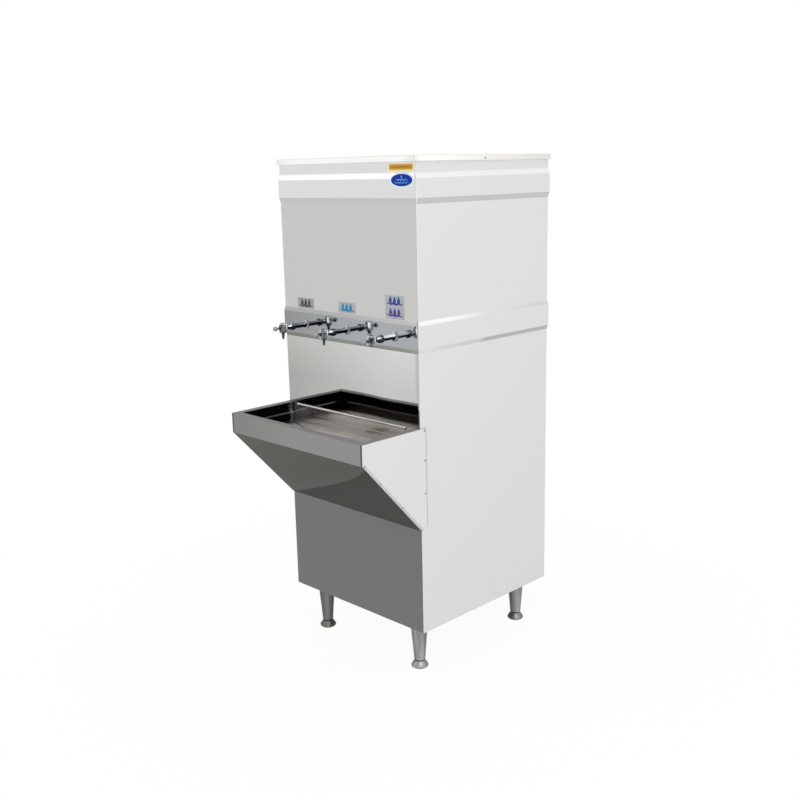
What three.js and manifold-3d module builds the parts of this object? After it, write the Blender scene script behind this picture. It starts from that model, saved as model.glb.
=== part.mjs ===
// A stainless drinking water cooler: a sheet metal cabinet on four conical legs,
// three chrome taps over a projecting drip tray, and inside it the cold tank,
// the refrigeration unit, the water filter and the lines that join them.
// Millimetres, +Z up. The front faces -Y. The origin is on the floor, midway
// between the farthest points in X and in Y.
import * as THREE from 'three';
import { mergeVertices } from 'three/addons/utils/BufferGeometryUtils.js';
import Module from 'manifold-3d';

const wasm = await Module();
wasm.setup();

// Cabinet
const cabinetWidth = 530;
const cabinetDepth = 536;
const cabinetHeight = 1254;
const legHeight = 142;
const sheet = 1.2;
const cornerRadius = 4;
const foldWidth = 20;

// Fits shared by all pieces
const seamGap = 0.3;
const overrun = 5;
const weldDistance = 0.0001;

// Raised bands round the cabinet
const bandRelief = 3;
const upperBandBevel = 13;
const upperBandFace = 47;
const upperBandDrop = 57;
const tapBandBevel = 11;
const tapBandFace = 60;
const tapBandLift = 3;

// Lid
const lidSkirt = 15;
const lidClearance = 3.8;

// Heights above the underside of the cabinet
const tapAxisRise = 801;
const trayRimRise = 567.5;
const traySlopeRise = 290.5;
const shelfRise = 640;

// Drip tray
const trayProjection = 205;
const trayFrontHeight = 55;
const trayLap = 22;
const trayLapCut = 10;
const trayBackFlange = 16;
const rimWidth = 21;

// Basin in the tray
const basinTuck = 5;
const basinDepth = 57;
const basinFall = 8;
const basinLedgeDrop = 30;
const basinLedgeWidth = 4;
const basinLedgeFall = 2;
const basinCorner = 6;
const basinBackGap = 1;
const railRadius = 3;
const railDrop = 3.5;
const railSetback = 45;
const railKnobRadius = 4.6;
const railKnobLength = 7;

// Drain of the basin
const strainerRadius = 25;
const strainerPlate = 2;
const strainerBodyRadius = 19;
const strainerBodyDepth = 9;
const strainerTailRadius = 12;
const strainerTailLength = 26;
const strainerBore = 9;
const strainerHole = 2;
const strainerHoleCircle = 6;
const drainHoseRadius = 12;
const drainHoseBend = 26;
const drainHoseDrop = 34;
const drainHoseInset = 45;
const drainHoseEnd = 10;

// Legs and screw feet
const legInsetX = 70;
const legInsetY = 55;
const legTopRadius = 25.3;
const legFootRadius = 16;
const legStudRadius = 6;
const legStudLength = 12;
const footHeight = 22.5;
const footWaistGap = 2;
const footRimRadius = 24.4;
const footBaseRadius = 16;
const footNeckRadius = 14.6;
const footRimHeight = 7.5;
const footStudRadius = 5;
const footStudLength = 36;
const threadClearance = 0.3;

// Taps, measured out from the face of the tap band
const leftTapInset = 94;
const rightTapInset = 82;
const tapShankRadius = 6.2;
const tapShankLength = 27;
const rosetteRadius = 12.8;
const rosetteThickness = 3.5;
const rosetteLip = 1.5;
const sleeveRadius = 7.4;
const sleeveLength = 46;
const ringRadius = 9.8;
const ringLength = 8;
const ringChamfer = 1.4;
const throatRadius = 6.6;
const headReach = 83;
const headRadius = 11.5;
const headHalfHeight = 11;
const headDome = 4;
const glandRadius = 5.4;
const glandReach = 95.5;
const spoutRootRadius = 5.6;
const spoutTipRadius = 3.1;
const spoutDrop = 31;
const spoutBore = 1.8;
const spoutBoreDepth = 15;
const jetRadius = 4.6;
const jetRise = 17;
const jetCupRadius = 6.4;
const jetCupHeight = 3;
const plungerRadius = 2.5;
const plungerTravel = 6;
const plungerRoot = 87;
const plungerEndGap = 2;
const ballReach = 109;
const ballRadius = 6.8;
const locknutRadius = 12.5;
const locknutThickness = 6;

// Spaces round the cold tank
const tapSpace = 60;
const sideSpace = 18;
const rearSpace = 10;
const insulationThickness = 32;
const coilSpace = 12;
const tankDrop = 38;
const tankSheet = 1.2;
const tankCorner = 28;
const tankFlange = 10;
const outletRise = 40;
const outletRadius = 7;
const outletBore = 4;
const outletStub = 5;
const supplyHoseRadius = 5.2;
const supplyHoseBend = 13;
const coverThickness = 2;
const coverKnobRadius = 16;
const coverKnobHeight = 18;

// Evaporator coil on the tank
const coilTube = 4.4;
const coilTurns = 4;
const coilPitch = 57;
const coilRise = 92;
const coilLeadBend = 8;
const coilPassage = 13;

// Float valve in the tank
const floatDrop = 95;
const floatStemRadius = 7;
const floatBodyRadius = 9;
const floatBodyLength = 28;
const floatEarLength = 14;
const floatEarThickness = 3;
const floatEarSpace = 7;
const floatPinRadius = 2;
const floatEyeRadius = 5;
const floatRodRadius = 2.4;
const floatArmLength = 140;
const floatBallRadius = 38;

// Shelf that carries the tank, and the base pan
const shelfThickness = 2;
const shelfFlange = 20;
const panThickness = 1.6;

// Compressor
const compressorSideInset = 160;
const compressorInset = 200;
const compressorRadius = 74;
const compressorHeight = 178;
const compressorPlateX = 196;
const compressorPlateY = 116;
const compressorPlate = 3;
const grommetRadius = 11;
const grommetHeight = 18;
const grommetInset = 16;
const portRadius = 5;
const portLength = 14;
const suctionPortRise = 95;
const dischargePortRise = 120;

// Condenser and its fan
const condenserSideInset = 207;
const condenserWidth = 236;
const condenserHeight = 236;
const condenserDepth = 44;
const condenserRearGap = 32;
const condenserFootHeight = 14;
const condenserFootWidth = 18;
const condenserPlate = 2;
const finCount = 11;
const finDepth = 9;
const finShare = 0.32;
const returnBendCount = 2;
const returnBendTube = 4.5;
const returnBendRadius = 16;
const returnBendEase = 13;
const fanRingDepth = 30;
const fanPlate = 2;
const fanRingWall = 2;
const fanRadius = 98;
const fanTipClearance = 6;
const fanHubRadius = 27;
const fanHubDepth = 20;
const fanBladeCount = 5;
const fanBladeThickness = 2;
const fanBladeWidth = 50;
const fanBladeDepth = 18;
const fanMotorRadius = 38;
const fanMotorLength = 56;
const fanShaftRadius = 4;
const fanShaftClearance = 0.4;
const fanShaftLength = 18;
const fanArmWidth = 12;
const fanArmThickness = 3;
const fanArmCount = 3;

// Refrigerant and water lines
const lineRadius = 4;
const lineBend = 8;
const lineClearance = 1.5;
const drierLength = 110;
const drierRise = 250;
const drierInset = 400;
const liquidRise = 45;

// Water filter under the shelf
const filterSideInset = 77;
const filterRearInset = 138;
const filterRadius = 36;
const filterLength = 225;
const filterHeadRadius = 42;
const filterHeadHeight = 34;
const filterPortRadius = 7;
const filterPortLength = 8;
const filterSidePortLength = 3;

// Rear panel
const inletRise = 420;
const inletReach = 26;
const inletRadius = 10.4;
const inletNutRadius = 15;
const inletNutThickness = 7;
const inletBarbRadius = 5;
const inletBarbLength = 24;
const cordGlandRise = 420;
const cordGlandRadius = 11;
const cordGlandReach = 16;
const cordGlandBore = 4.5;
const louvreColumns = 2;
const louvreRows = 8;
const louvreSideInset = 49;
const louvrePitch = 30;
const louvreHeight = 15;
const louvreReach = 7;
const louvreSlot = 7;
const louvreRise = 40;
const louvreColumnGap = 40;

// Thermostat
const thermostatSideInset = 165;
const thermostatRise = 500;
const thermostatWidth = 56;
const thermostatHeight = 42;
const thermostatDepth = 30;
const thermostatShaftRadius = 3;
const thermostatShaftReach = 11;
const knobRadius = 16;
const knobDepth = 12;
const knobPlay = 0.6;
const knobPointerWidth = 4;
const knobPointerRise = 2;

// Numbers of facets
const cornerFacets = 2;
const boltSides = 6;
const tubeSides = 8;
const thinTubeSides = 6;
const turnedSides = 14;
const tapSides = 12;
const legSides = 16;
const domeSteps = 4;
const bendSteps = 3;
const tankFacets = 3;

// Levels and faces worked out from the sizes above
const cabinetBottom = legHeight;
const cabinetTop = legHeight + cabinetHeight;
const halfWidth = cabinetWidth / 2;
const frontY = (trayProjection - cabinetDepth - inletReach) / 2;
const rearY = frontY + cabinetDepth;
const middleY = (frontY + rearY) / 2;
const panelTop = cabinetTop - sheet - seamGap;
const tapAxisHeight = cabinetBottom + tapAxisRise;
const trayRim = cabinetBottom + trayRimRise;
const shelfTop = cabinetBottom + shelfRise;
const panTop = cabinetBottom + sheet + seamGap + panThickness;
const sideLineX = halfWidth - sheet - sideSpace / 2;
const compressorX = compressorSideInset - halfWidth;
const condenserX = halfWidth - condenserSideInset;
const filterX = filterSideInset - halfWidth;
const inletX = filterX;
const glandX = -inletX;
const thermostatX = halfWidth - thermostatSideInset;
const louvreSpan = cabinetWidth - 2 * louvreSideInset - (louvreColumns - 1) * louvreColumnGap;
const louvreWidth = louvreSpan / louvreColumns;
const splashLow = cabinetBottom + traySlopeRise + trayBackFlange / 2;
const tapBandMiddle = tapAxisHeight + tapBandLift;
const splashHigh = tapBandMiddle - tapBandFace / 2 - tapBandBevel - seamGap;
const trayFrontY = frontY - trayProjection;

// Colours of the finishes seen in the photograph
const finishes = {
  paintedSide: { color: 0xe2e2e2, roughness: 0.45, metalness: 0.1 },
  brightSheet: { color: 0xc9c9c6, roughness: 0.18, metalness: 1.0 },
  satinSheet: { color: 0xb2b2b0, roughness: 0.35, metalness: 0.9 },
  lid: { color: 0xf0f0ee, roughness: 0.4, metalness: 0.1 },
  chrome: { color: 0xd8dadc, roughness: 0.08, metalness: 1.0 },
  castLeg: { color: 0x8f9190, roughness: 0.38, metalness: 0.9 },
  galvanised: { color: 0xa8abad, roughness: 0.5, metalness: 0.8 },
  foam: { color: 0xe8e2c8, roughness: 0.9, metalness: 0.0 },
  copper: { color: 0xb87046, roughness: 0.35, metalness: 1.0 },
  brass: { color: 0xb59a4c, roughness: 0.35, metalness: 1.0 },
  blackEnamel: { color: 0x17181a, roughness: 0.4, metalness: 0.2 },
  blackPlastic: { color: 0x1d1e20, roughness: 0.55, metalness: 0.0 },
  whitePlastic: { color: 0xe6e8ea, roughness: 0.5, metalness: 0.0 },
  clearHose: { color: 0xd5dde0, roughness: 0.35, metalness: 0.0 },
  aluminium: { color: 0xb9bdc0, roughness: 0.45, metalness: 0.9 },
};

// Solids from geometry, and back

function solidOf(geometry) {
  const bare = geometry.clone();
  bare.deleteAttribute('normal');
  bare.deleteAttribute('uv');
  const merged = mergeVertices(bare, weldDistance);
  return new wasm.Manifold(new wasm.Mesh({
    numProp: 3,
    vertProperties: Float32Array.from(merged.attributes.position.array),
    triVerts: Uint32Array.from(merged.index.array),
  }));
}

function geometryOf(solid) {
  const mesh = solid.getMesh();
  const geometry = new THREE.BufferGeometry();
  geometry.setAttribute('position', new THREE.BufferAttribute(mesh.vertProperties, 3));
  geometry.setIndex(new THREE.BufferAttribute(mesh.triVerts, 1));
  const faceted = geometry.toNonIndexed();
  faceted.computeVertexNormals();
  return faceted;
}

function fuse(...solids) {
  return solids.reduce((whole, piece) => whole.add(piece));
}

function cut(body, ...tools) {
  return tools.reduce((rest, tool) => rest.subtract(tool), body);
}

// A box between two corners
function block(low, high) {
  const size = high.map((value, axis) => value - low[axis]);
  const geometry = new THREE.BoxGeometry(...size);
  geometry.translate(...low.map((value, axis) => value + size[axis] / 2));
  return solidOf(geometry);
}

// An outline carried up Z, along X or along Y, from one place to another
function extrusion(outline, length) {
  const shape = new THREE.Shape(outline.map(([u, v]) => new THREE.Vector2(u, v)));
  return new THREE.ExtrudeGeometry(shape, { depth: length, bevelEnabled: false, curveSegments: 1 });
}

function prismUp(outline, low, high) {
  return solidOf(extrusion(outline, high - low).translate(0, 0, low));
}

// The outline holds Y and Z values
function prismAlongX(outline, low, high) {
  const turn = new THREE.Matrix4().makeBasis(
    new THREE.Vector3(0, 1, 0),
    new THREE.Vector3(0, 0, 1),
    new THREE.Vector3(1, 0, 0),
  );
  return solidOf(extrusion(outline, high - low).applyMatrix4(turn).translate(low, 0, 0));
}

// A cylinder or cone whose axis runs from one point to another
function rod(from, to, radius, sides = turnedSides, endRadius = radius) {
  const start = new THREE.Vector3(...from);
  const end = new THREE.Vector3(...to);
  const axis = end.clone().sub(start);
  const geometry = new THREE.CylinderGeometry(endRadius, radius, axis.length(), sides);
  const up = new THREE.Vector3(0, 1, 0);
  geometry.applyQuaternion(new THREE.Quaternion().setFromUnitVectors(up, axis.clone().normalize()));
  geometry.translate(...start.add(end).divideScalar(2));
  return solidOf(geometry);
}

// A turned piece on the Z axis; the profile holds radius and height, from low to high
function turned(profile, sides = turnedSides) {
  const points = profile.map(([radius, height]) => new THREE.Vector2(radius, height));
  return solidOf(new THREE.LatheGeometry(points, sides).rotateX(Math.PI / 2));
}

// A ring of points round a rectangle with rounded corners, at one height
function roundedLoop(halfX, halfY, radius, height, centreY = 0, facets = cornerFacets) {
  const loop = [];
  for (let corner = 0; corner < 4; corner += 1) {
    const signX = corner === 0 || corner === 3 ? 1 : -1;
    const signY = corner < 2 ? 1 : -1;
    for (let step = 0; step <= facets; step += 1) {
      const angle = (corner + step / facets) * Math.PI / 2;
      loop.push(new THREE.Vector3(
        signX * (halfX - radius) + radius * Math.cos(angle),
        centreY + signY * (halfY - radius) + radius * Math.sin(angle),
        height,
      ));
    }
  }
  return loop;
}

// A closed skin through rings of points, listed from low to high
function loft(loops) {
  const count = loops[0].length;
  const index = [];
  for (let level = 0; level < loops.length - 1; level += 1) {
    for (let place = 0; place < count; place += 1) {
      const a = level * count + place;
      const b = level * count + (place + 1) % count;
      index.push(a, b, b + count, a, b + count, a + count);
    }
  }
  const last = (loops.length - 1) * count;
  for (let place = 1; place < count - 1; place += 1) {
    index.push(0, place + 1, place);
    index.push(last, last + place, last + place + 1);
  }
  const geometry = new THREE.BufferGeometry();
  const values = loops.flat().flatMap((point) => point.toArray());
  geometry.setAttribute('position', new THREE.Float32BufferAttribute(values, 3));
  geometry.setIndex(index);
  return solidOf(geometry);
}

function roundedBlock(halfX, halfY, radius, low, high, centreY = 0) {
  return loft([low, high].map((height) => roundedLoop(halfX, halfY, radius, height, centreY)));
}

// The outline of a bent sheet: the given line, and the same line set off to its left
function bentSheet(line, thickness) {
  const points = line.map(([u, v]) => new THREE.Vector2(u, v));
  const left = points.map((point, place) => {
    const before = points[Math.max(place - 1, 0)];
    const after = points[Math.min(place + 1, points.length - 1)];
    const into = (place === 0 ? after.clone().sub(point) : point.clone().sub(before)).normalize();
    const out = (after === point ? into : after.clone().sub(point)).clone().normalize();
    const middle = new THREE.Vector2(-into.y - out.y, into.x + out.x).normalize();
    const reach = thickness / middle.dot(new THREE.Vector2(-into.y, into.x));
    return [point.x + middle.x * reach, point.y + middle.y * reach];
  });
  return [...line, ...left.reverse()];
}

// A route through points, with each inner corner eased by an arc
class Route extends THREE.Curve {
  constructor(points) {
    super();
    this.points = points;
  }

  getPoint(share, target = new THREE.Vector3()) {
    const place = share * (this.points.length - 1);
    const low = Math.min(Math.floor(place), this.points.length - 2);
    return target.lerpVectors(this.points[low], this.points[low + 1], place - low);
  }

  getPointAt(share, target) {
    return this.getPoint(share, target);
  }

  getTangentAt(share, target = new THREE.Vector3()) {
    const place = Math.round(share * (this.points.length - 1));
    const point = this.points[place];
    const into = point.clone().sub(this.points[Math.max(place - 1, 0)]).normalize();
    const out = this.points[Math.min(place + 1, this.points.length - 1)].clone().sub(point).normalize();
    return target.copy(into.add(out).normalize());
  }
}

function easedPoints(corners, bend) {
  const stops = corners.map((corner) => new THREE.Vector3(...corner));
  const points = [stops[0]];
  for (let place = 1; place < stops.length - 1; place += 1) {
    const stop = stops[place];
    const back = stops[place - 1].clone().sub(stop).normalize();
    const ahead = stops[place + 1].clone().sub(stop).normalize();
    const start = stop.clone().addScaledVector(back, bend);
    const end = stop.clone().addScaledVector(ahead, bend);
    const arc = new THREE.QuadraticBezierCurve3(start, stop, end);
    points.push(...arc.getPoints(bendSteps));
  }
  points.push(stops[stops.length - 1]);
  return points;
}

function sweep(points, radius, sides) {
  const section = new THREE.Shape();
  for (let side = 0; side < sides; side += 1) {
    const angle = (side + 0.5) * 2 * Math.PI / sides;
    const place = [radius * Math.cos(angle), radius * Math.sin(angle)];
    if (side === 0) section.moveTo(...place);
    else section.lineTo(...place);
  }
  const route = new Route(points);
  return solidOf(new THREE.ExtrudeGeometry(section, { steps: points.length - 1, extrudePath: route }));
}

function line(corners, radius, bend, sides = thinTubeSides) {
  return sweep(easedPoints(corners, bend), radius, sides);
}

// The group and its pieces

const group = new THREE.Group();

function addPiece(name, solid, finish, parent = group, place = [0, 0, 0]) {
  const material = new THREE.MeshStandardMaterial(finishes[finish]);
  const mesh = new THREE.Mesh(geometryOf(solid), material);
  mesh.name = name;
  mesh.position.set(...place);
  parent.add(mesh);
  return mesh;
}

// How far the skin stands out from the plain wall at each height, from low to high
function skinLevels() {
  const tapLow = tapBandMiddle - tapBandFace / 2;
  const tapHigh = tapBandMiddle + tapBandFace / 2;
  const upperHigh = cabinetTop - upperBandDrop;
  const upperLow = upperHigh - upperBandFace;
  return [
    [cabinetBottom, 0],
    [tapLow - tapBandBevel, 0],
    [tapLow, bandRelief],
    [tapHigh, bandRelief],
    [tapHigh + tapBandBevel, 0],
    [upperLow - upperBandBevel, 0],
    [upperLow, bandRelief],
    [upperHigh, bandRelief],
    [upperHigh + upperBandBevel, 0],
    [panelTop, 0],
  ];
}

// The whole skin as one bent sheet with folds at the top and bottom
function makeSkin() {
  const halfDepth = cabinetDepth / 2;
  const levels = skinLevels();
  const outside = loft(levels.map(([height, out]) => roundedLoop(
    halfWidth + out, halfDepth + out, cornerRadius, height, middleY)));
  const inner = levels.map(([height, out]) => [height, out - sheet]);
  inner[0][0] = cabinetBottom + sheet;
  inner[inner.length - 1][0] = panelTop - sheet;
  const inside = loft(inner.map(([height, out]) => roundedLoop(
    halfWidth + out, halfDepth + out, cornerRadius - sheet, height, middleY)));
  const mouth = roundedBlock(halfWidth - foldWidth, halfDepth - foldWidth, cornerRadius,
    cabinetBottom - overrun, cabinetTop + overrun, middleY);
  return cut(outside, inside, mouth);
}

// The part of the skin that belongs to one side, mitred at the corners of the cabinet
function mitredPanel(skin, side, low, high) {
  const out = bandRelief + overrun;
  const into = foldWidth + overrun;
  const frontHalf = halfWidth - seamGap;
  const wedges = {
    front: [[-frontHalf - out, frontY - out], [frontHalf + out, frontY - out],
      [frontHalf - into, frontY + into], [-frontHalf + into, frontY + into]],
    rear: [[frontHalf + out, rearY + out], [-frontHalf - out, rearY + out],
      [-frontHalf + into, rearY - into], [frontHalf - into, rearY - into]],
    right: [[halfWidth + out, frontY - out], [halfWidth + out, rearY + out],
      [halfWidth - into, rearY - into], [halfWidth - into, frontY + into]],
    left: [[-halfWidth - out, rearY + out], [-halfWidth - out, frontY - out],
      [-halfWidth + into, frontY + into], [-halfWidth + into, rearY - into]],
  };
  return skin.intersect(prismUp(wedges[side], low, high));
}

function tapPlaces() {
  return [leftTapInset - halfWidth, 0, halfWidth - rightTapInset];
}

// Pressed louvres with their slots, in columns on the rear panel
function addLouvres(panel) {
  let result = panel;
  for (let column = 0; column < louvreColumns; column += 1) {
    const centre = (column - (louvreColumns - 1) / 2) * (louvreWidth + louvreColumnGap);
    const left = centre - louvreWidth / 2;
    const right = centre + louvreWidth / 2;
    for (let row = 0; row < louvreRows; row += 1) {
      const low = cabinetBottom + louvreRise + row * louvrePitch;
      const high = low + louvreHeight;
      const wall = rearY - sheet / 2;
      const cheek = [[wall, high], [wall, low], [rearY + louvreReach, low]];
      const hollow = [[rearY - sheet - overrun, high - 2 * sheet], [rearY - sheet - overrun, low - overrun],
        [rearY + louvreReach - sheet, low - overrun], [rearY + louvreReach - sheet, low]];
      const slot = block([left + sheet, rearY - sheet - overrun, low],
        [right - sheet, rearY + overrun, low + louvreSlot]);
      const hood = cut(prismAlongX(cheek, left, right), prismAlongX(hollow, left + sheet, right - sheet));
      result = cut(result, slot).add(hood);
    }
  }
  return result;
}

function makeCabinet() {
  const skin = makeSkin();
  const low = cabinetBottom - overrun;
  addPiece('side_panel_left', mitredPanel(skin, 'left', low, cabinetTop), 'paintedSide');
  addPiece('side_panel_right', mitredPanel(skin, 'right', low, cabinetTop), 'paintedSide');

  const tapHole = tapShankRadius + threadClearance;
  const tapHoles = tapPlaces().map((x) => rod(
    [x, frontY - overrun, tapAxisHeight], [x, frontY + overrun, tapAxisHeight], tapHole));
  const upper = cut(mitredPanel(skin, 'front', splashHigh + seamGap, cabinetTop), ...tapHoles);
  addPiece('front_panel_upper', upper, 'brightSheet');

  const drainHole = rod([0, frontY - overrun, drainHoseLevel()], [0, frontY + overrun, drainHoseLevel()],
    drainHoseRadius + lineClearance);
  const splash = cut(mitredPanel(skin, 'front', splashLow + seamGap, splashHigh), drainHole);
  addPiece('front_panel_splash', splash, 'brightSheet');
  addPiece('front_panel_lower', mitredPanel(skin, 'front', low, splashLow), 'satinSheet');

  const rearSplit = shelfTop - shelfFlange / 2;
  addPiece('rear_panel_upper', mitredPanel(skin, 'rear', rearSplit + seamGap, cabinetTop), 'galvanised');
  const ports = [
    [inletX, cabinetBottom + inletRise, inletRadius],
    [glandX, cabinetBottom + cordGlandRise, cordGlandRadius - sheet],
    [thermostatX, cabinetBottom + thermostatRise, thermostatShaftRadius],
  ].map(([x, z, radius]) => rod(
    [x, rearY - sheet - overrun, z], [x, rearY + overrun, z], radius + threadClearance));
  const lower = cut(addLouvres(mitredPanel(skin, 'rear', low, rearSplit)), ...ports);
  addPiece('rear_panel_lower', lower, 'galvanised');
}

function legPlaces() {
  const x = halfWidth - legInsetX;
  return [
    ['front_left', -x, frontY + legInsetY],
    ['front_right', x, frontY + legInsetY],
    ['rear_left', -x, rearY - legInsetY],
    ['rear_right', x, rearY - legInsetY],
  ];
}

function makeBase() {
  const pan = roundedBlock(halfWidth - sheet - seamGap, cabinetDepth / 2 - sheet - seamGap, cornerRadius,
    panTop - panThickness, panTop, middleY);
  const holes = legPlaces().map(([, x, y]) => rod(
    [x, y, panTop - overrun], [x, y, panTop + overrun], legStudRadius + threadClearance));
  const drainY = frontY + drainHoseInset;
  holes.push(rod([0, drainY, panTop - overrun], [0, drainY, panTop + overrun],
    drainHoseRadius + threadClearance));
  addPiece('base_pan', cut(pan, ...holes), 'galvanised');

  const legTop = panTop - panThickness - seamGap;
  const legFoot = footHeight + footWaistGap;
  const bore = footStudRadius + threadClearance;
  const boreTop = footHeight + footStudLength + footWaistGap;
  const legProfile = [
    [0, boreTop], [bore, boreTop], [bore, legFoot],
    [legFootRadius, legFoot], [legTopRadius, legTop],
    [legStudRadius, legTop], [legStudRadius, panTop + legStudLength], [0, panTop + legStudLength],
  ];
  const rimStep = footRimHeight / 2;
  const footProfile = [
    [0, 0], [footBaseRadius, 0],
    [(footBaseRadius + 2 * footRimRadius) / 3, rimStep / 2],
    [footRimRadius, footRimHeight - rimStep / 2],
    [footRimRadius, footRimHeight + rimStep / 2],
    [(footRimRadius + footNeckRadius) / 2, (footRimHeight + footHeight) / 2],
    [footNeckRadius, footHeight - rimStep / 2],
    [footNeckRadius, footHeight],
    [footStudRadius, footHeight], [footStudRadius, footHeight + footStudLength],
    [0, footHeight + footStudLength],
  ];
  const leg = turned(legProfile, legSides);
  const foot = turned(footProfile, legSides);
  for (const [corner, x, y] of legPlaces()) {
    addPiece(`leg_${corner}`, leg, 'castLeg', group, [x, y, 0]);
    addPiece(`foot_${corner}`, foot, 'castLeg', group, [x, y, 0]);
  }
}

// The lift-off lid: a flat top with a skirt that laps the neck of the cabinet
function makeLid() {
  const half = halfWidth + lidClearance;
  const halfDepth = cabinetDepth / 2 + lidClearance;
  const low = cabinetTop - lidSkirt;
  const outside = roundedBlock(half + sheet, halfDepth + sheet, cornerRadius + sheet,
    low, cabinetTop, middleY);
  const inside = roundedBlock(half, halfDepth, cornerRadius, low - overrun, cabinetTop - sheet, middleY);
  addPiece('lid', cut(outside, inside), 'lid');
}

// The apron of the tray: one bent sheet for rim, front and slope, with a plate at each end
function makeApron() {
  const plateIn = halfWidth + seamGap;
  const plateOut = plateIn + sheet;
  const wallY = frontY - seamGap;
  const frontLow = trayRim - trayFrontHeight;
  const slopeLow = cabinetBottom + traySlopeRise;
  const profile = bentSheet([
    [wallY, slopeLow + trayBackFlange], [wallY, slopeLow],
    [trayFrontY, frontLow], [trayFrontY, trayRim], [trayFrontY + rimWidth, trayRim],
  ].reverse(), sheet);
  const plate = [
    [trayFrontY, trayRim], [trayFrontY, frontLow], [wallY, slopeLow],
    [frontY + trayLap, slopeLow + trayLapCut], [frontY + trayLap, trayRim],
  ];
  const pieces = [prismAlongX(profile, -plateOut, plateOut)];
  for (const side of [-1, 1]) {
    const [low, high] = [side * plateIn, side * plateOut].sort((a, b) => a - b);
    pieces.push(prismAlongX(plate, low, high));
    const [rimLow, rimHigh] = [side * plateOut, side * (plateOut - rimWidth)].sort((a, b) => a - b);
    pieces.push(block([rimLow, trayFrontY, trayRim - sheet], [rimHigh, wallY, trayRim]));
  }
  addPiece('tray_apron', fuse(...pieces), 'satinSheet');
}

// The inside faces of the basin
function basinFaces() {
  const halfX = halfWidth + seamGap + sheet - rimWidth + basinTuck;
  const low = trayFrontY + rimWidth - basinTuck;
  const high = frontY - seamGap - basinBackGap - sheet;
  return { halfX, halfY: (high - low) / 2, centreY: (high + low) / 2, rear: high };
}

function drainFloor() {
  return trayRim - basinDepth - basinFall;
}

// Height of the drain hose where it passes the splash panel
function drainHoseLevel() {
  return drainFloor() - sheet - strainerTailLength - drainHoseDrop;
}

// The basin: walls with a ledge, and a floor that falls in four creases to the drain
function makeBasin() {
  const { halfX, halfY, centreY, rear } = basinFaces();
  const top = trayRim - sheet - seamGap;
  const ledge = trayRim - basinLedgeDrop;
  const floor = trayRim - basinDepth;
  const flat = strainerRadius + seamGap;
  function skinAt(out, drop, topHeight) {
    const narrow = basinLedgeWidth - out;
    const corner = basinCorner + out;
    return loft([
      roundedLoop(flat + out, flat + out, flat + out, drainFloor() - drop, centreY),
      roundedLoop(halfX - narrow, halfY - narrow, corner, floor - drop, centreY),
      roundedLoop(halfX - narrow, halfY - narrow, corner, ledge - basinLedgeFall - drop, centreY),
      roundedLoop(halfX + out, halfY + out, corner, ledge - drop, centreY),
      roundedLoop(halfX + out, halfY + out, corner, topHeight, centreY),
    ]);
  }
  const hole = rod([0, centreY, drainFloor() - sheet - overrun], [0, centreY, drainFloor() + overrun],
    strainerBodyRadius + seamGap);
  const railLow = trayRim - railDrop - railRadius - seamGap;
  const backCut = block([-halfX - basinTuck, rear - basinTuck, railLow],
    [halfX + basinTuck, frontY, trayRim]);
  const basin = cut(skinAt(sheet, sheet, top), skinAt(0, 0, top + overrun), hole, backCut);
  addPiece('basin', basin, 'brightSheet');

  const railX = halfWidth - railSetback - railKnobLength;
  const railEnd = railX + railKnobLength;
  const railY = frontY - seamGap - railKnobRadius;
  const railZ = trayRim - railDrop;
  const rail = fuse(
    rod([-railEnd, railY, railZ], [railEnd, railY, railZ], railRadius),
    rod([-railEnd, railY, railZ], [-railX, railY, railZ], railKnobRadius, boltSides),
    rod([railX, railY, railZ], [railEnd, railY, railZ], railKnobRadius, boltSides),
  );
  addPiece('basin_rear_rail', rail, 'brightSheet');
}

function makeDrain() {
  const { centreY } = basinFaces();
  const plateLow = seamGap;
  const plateHigh = plateLow + strainerPlate;
  const bodyLow = -sheet - strainerBodyDepth;
  const tailLow = -sheet - strainerTailLength;
  const profile = [
    [0, plateLow], [strainerBore, plateLow], [strainerBore, tailLow],
    [strainerTailRadius, tailLow], [strainerTailRadius, bodyLow],
    [strainerBodyRadius, bodyLow + strainerPlate], [strainerBodyRadius, plateLow],
    [strainerRadius, plateLow], [strainerRadius - seamGap, plateHigh], [0, plateHigh],
  ];
  const holes = [];
  for (let turn = 0; turn < boltSides; turn += 1) {
    const angle = turn * 2 * Math.PI / boltSides;
    const x = strainerHoleCircle * Math.cos(angle);
    const y = strainerHoleCircle * Math.sin(angle);
    holes.push(rod([x, y, plateLow - overrun], [x, y, plateHigh + overrun], strainerHole, thinTubeSides));
  }
  const strainer = cut(turned(profile), ...holes);
  addPiece('drain_strainer', strainer, 'chrome', group, [0, centreY, drainFloor()]);

  const hoseStart = drainFloor() - sheet - strainerTailLength - seamGap;
  const hoseY = frontY + drainHoseInset;
  const hose = line([
    [0, centreY, hoseStart],
    [0, centreY, drainHoseLevel()],
    [0, hoseY, drainHoseLevel()],
    [0, hoseY, cabinetBottom - drainHoseEnd],
  ], drainHoseRadius, drainHoseBend, tubeSides);
  addPiece('drain_hose', hose, 'clearHose');
}

// Taps. Their own Z points out of the wall and their own Y points up
function tapCore() {
  const sleeveStart = seamGap + rosetteThickness + seamGap;
  const ringEnd = sleeveLength + ringLength;
  const profile = [
    [0, -tapShankLength], [tapShankRadius, -tapShankLength], [tapShankRadius, sleeveStart],
    [sleeveRadius, sleeveStart], [sleeveRadius, sleeveLength],
    [ringRadius - ringChamfer, sleeveLength], [ringRadius, sleeveLength + ringChamfer],
    [ringRadius, ringEnd - ringChamfer], [ringRadius - ringChamfer, ringEnd],
    [throatRadius, ringEnd], [throatRadius, headReach], [glandRadius, headReach],
    [glandRadius, glandReach - ringChamfer], [glandRadius - ringChamfer, glandReach], [0, glandReach],
  ];
  return turned(profile, tapSides);
}

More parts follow.
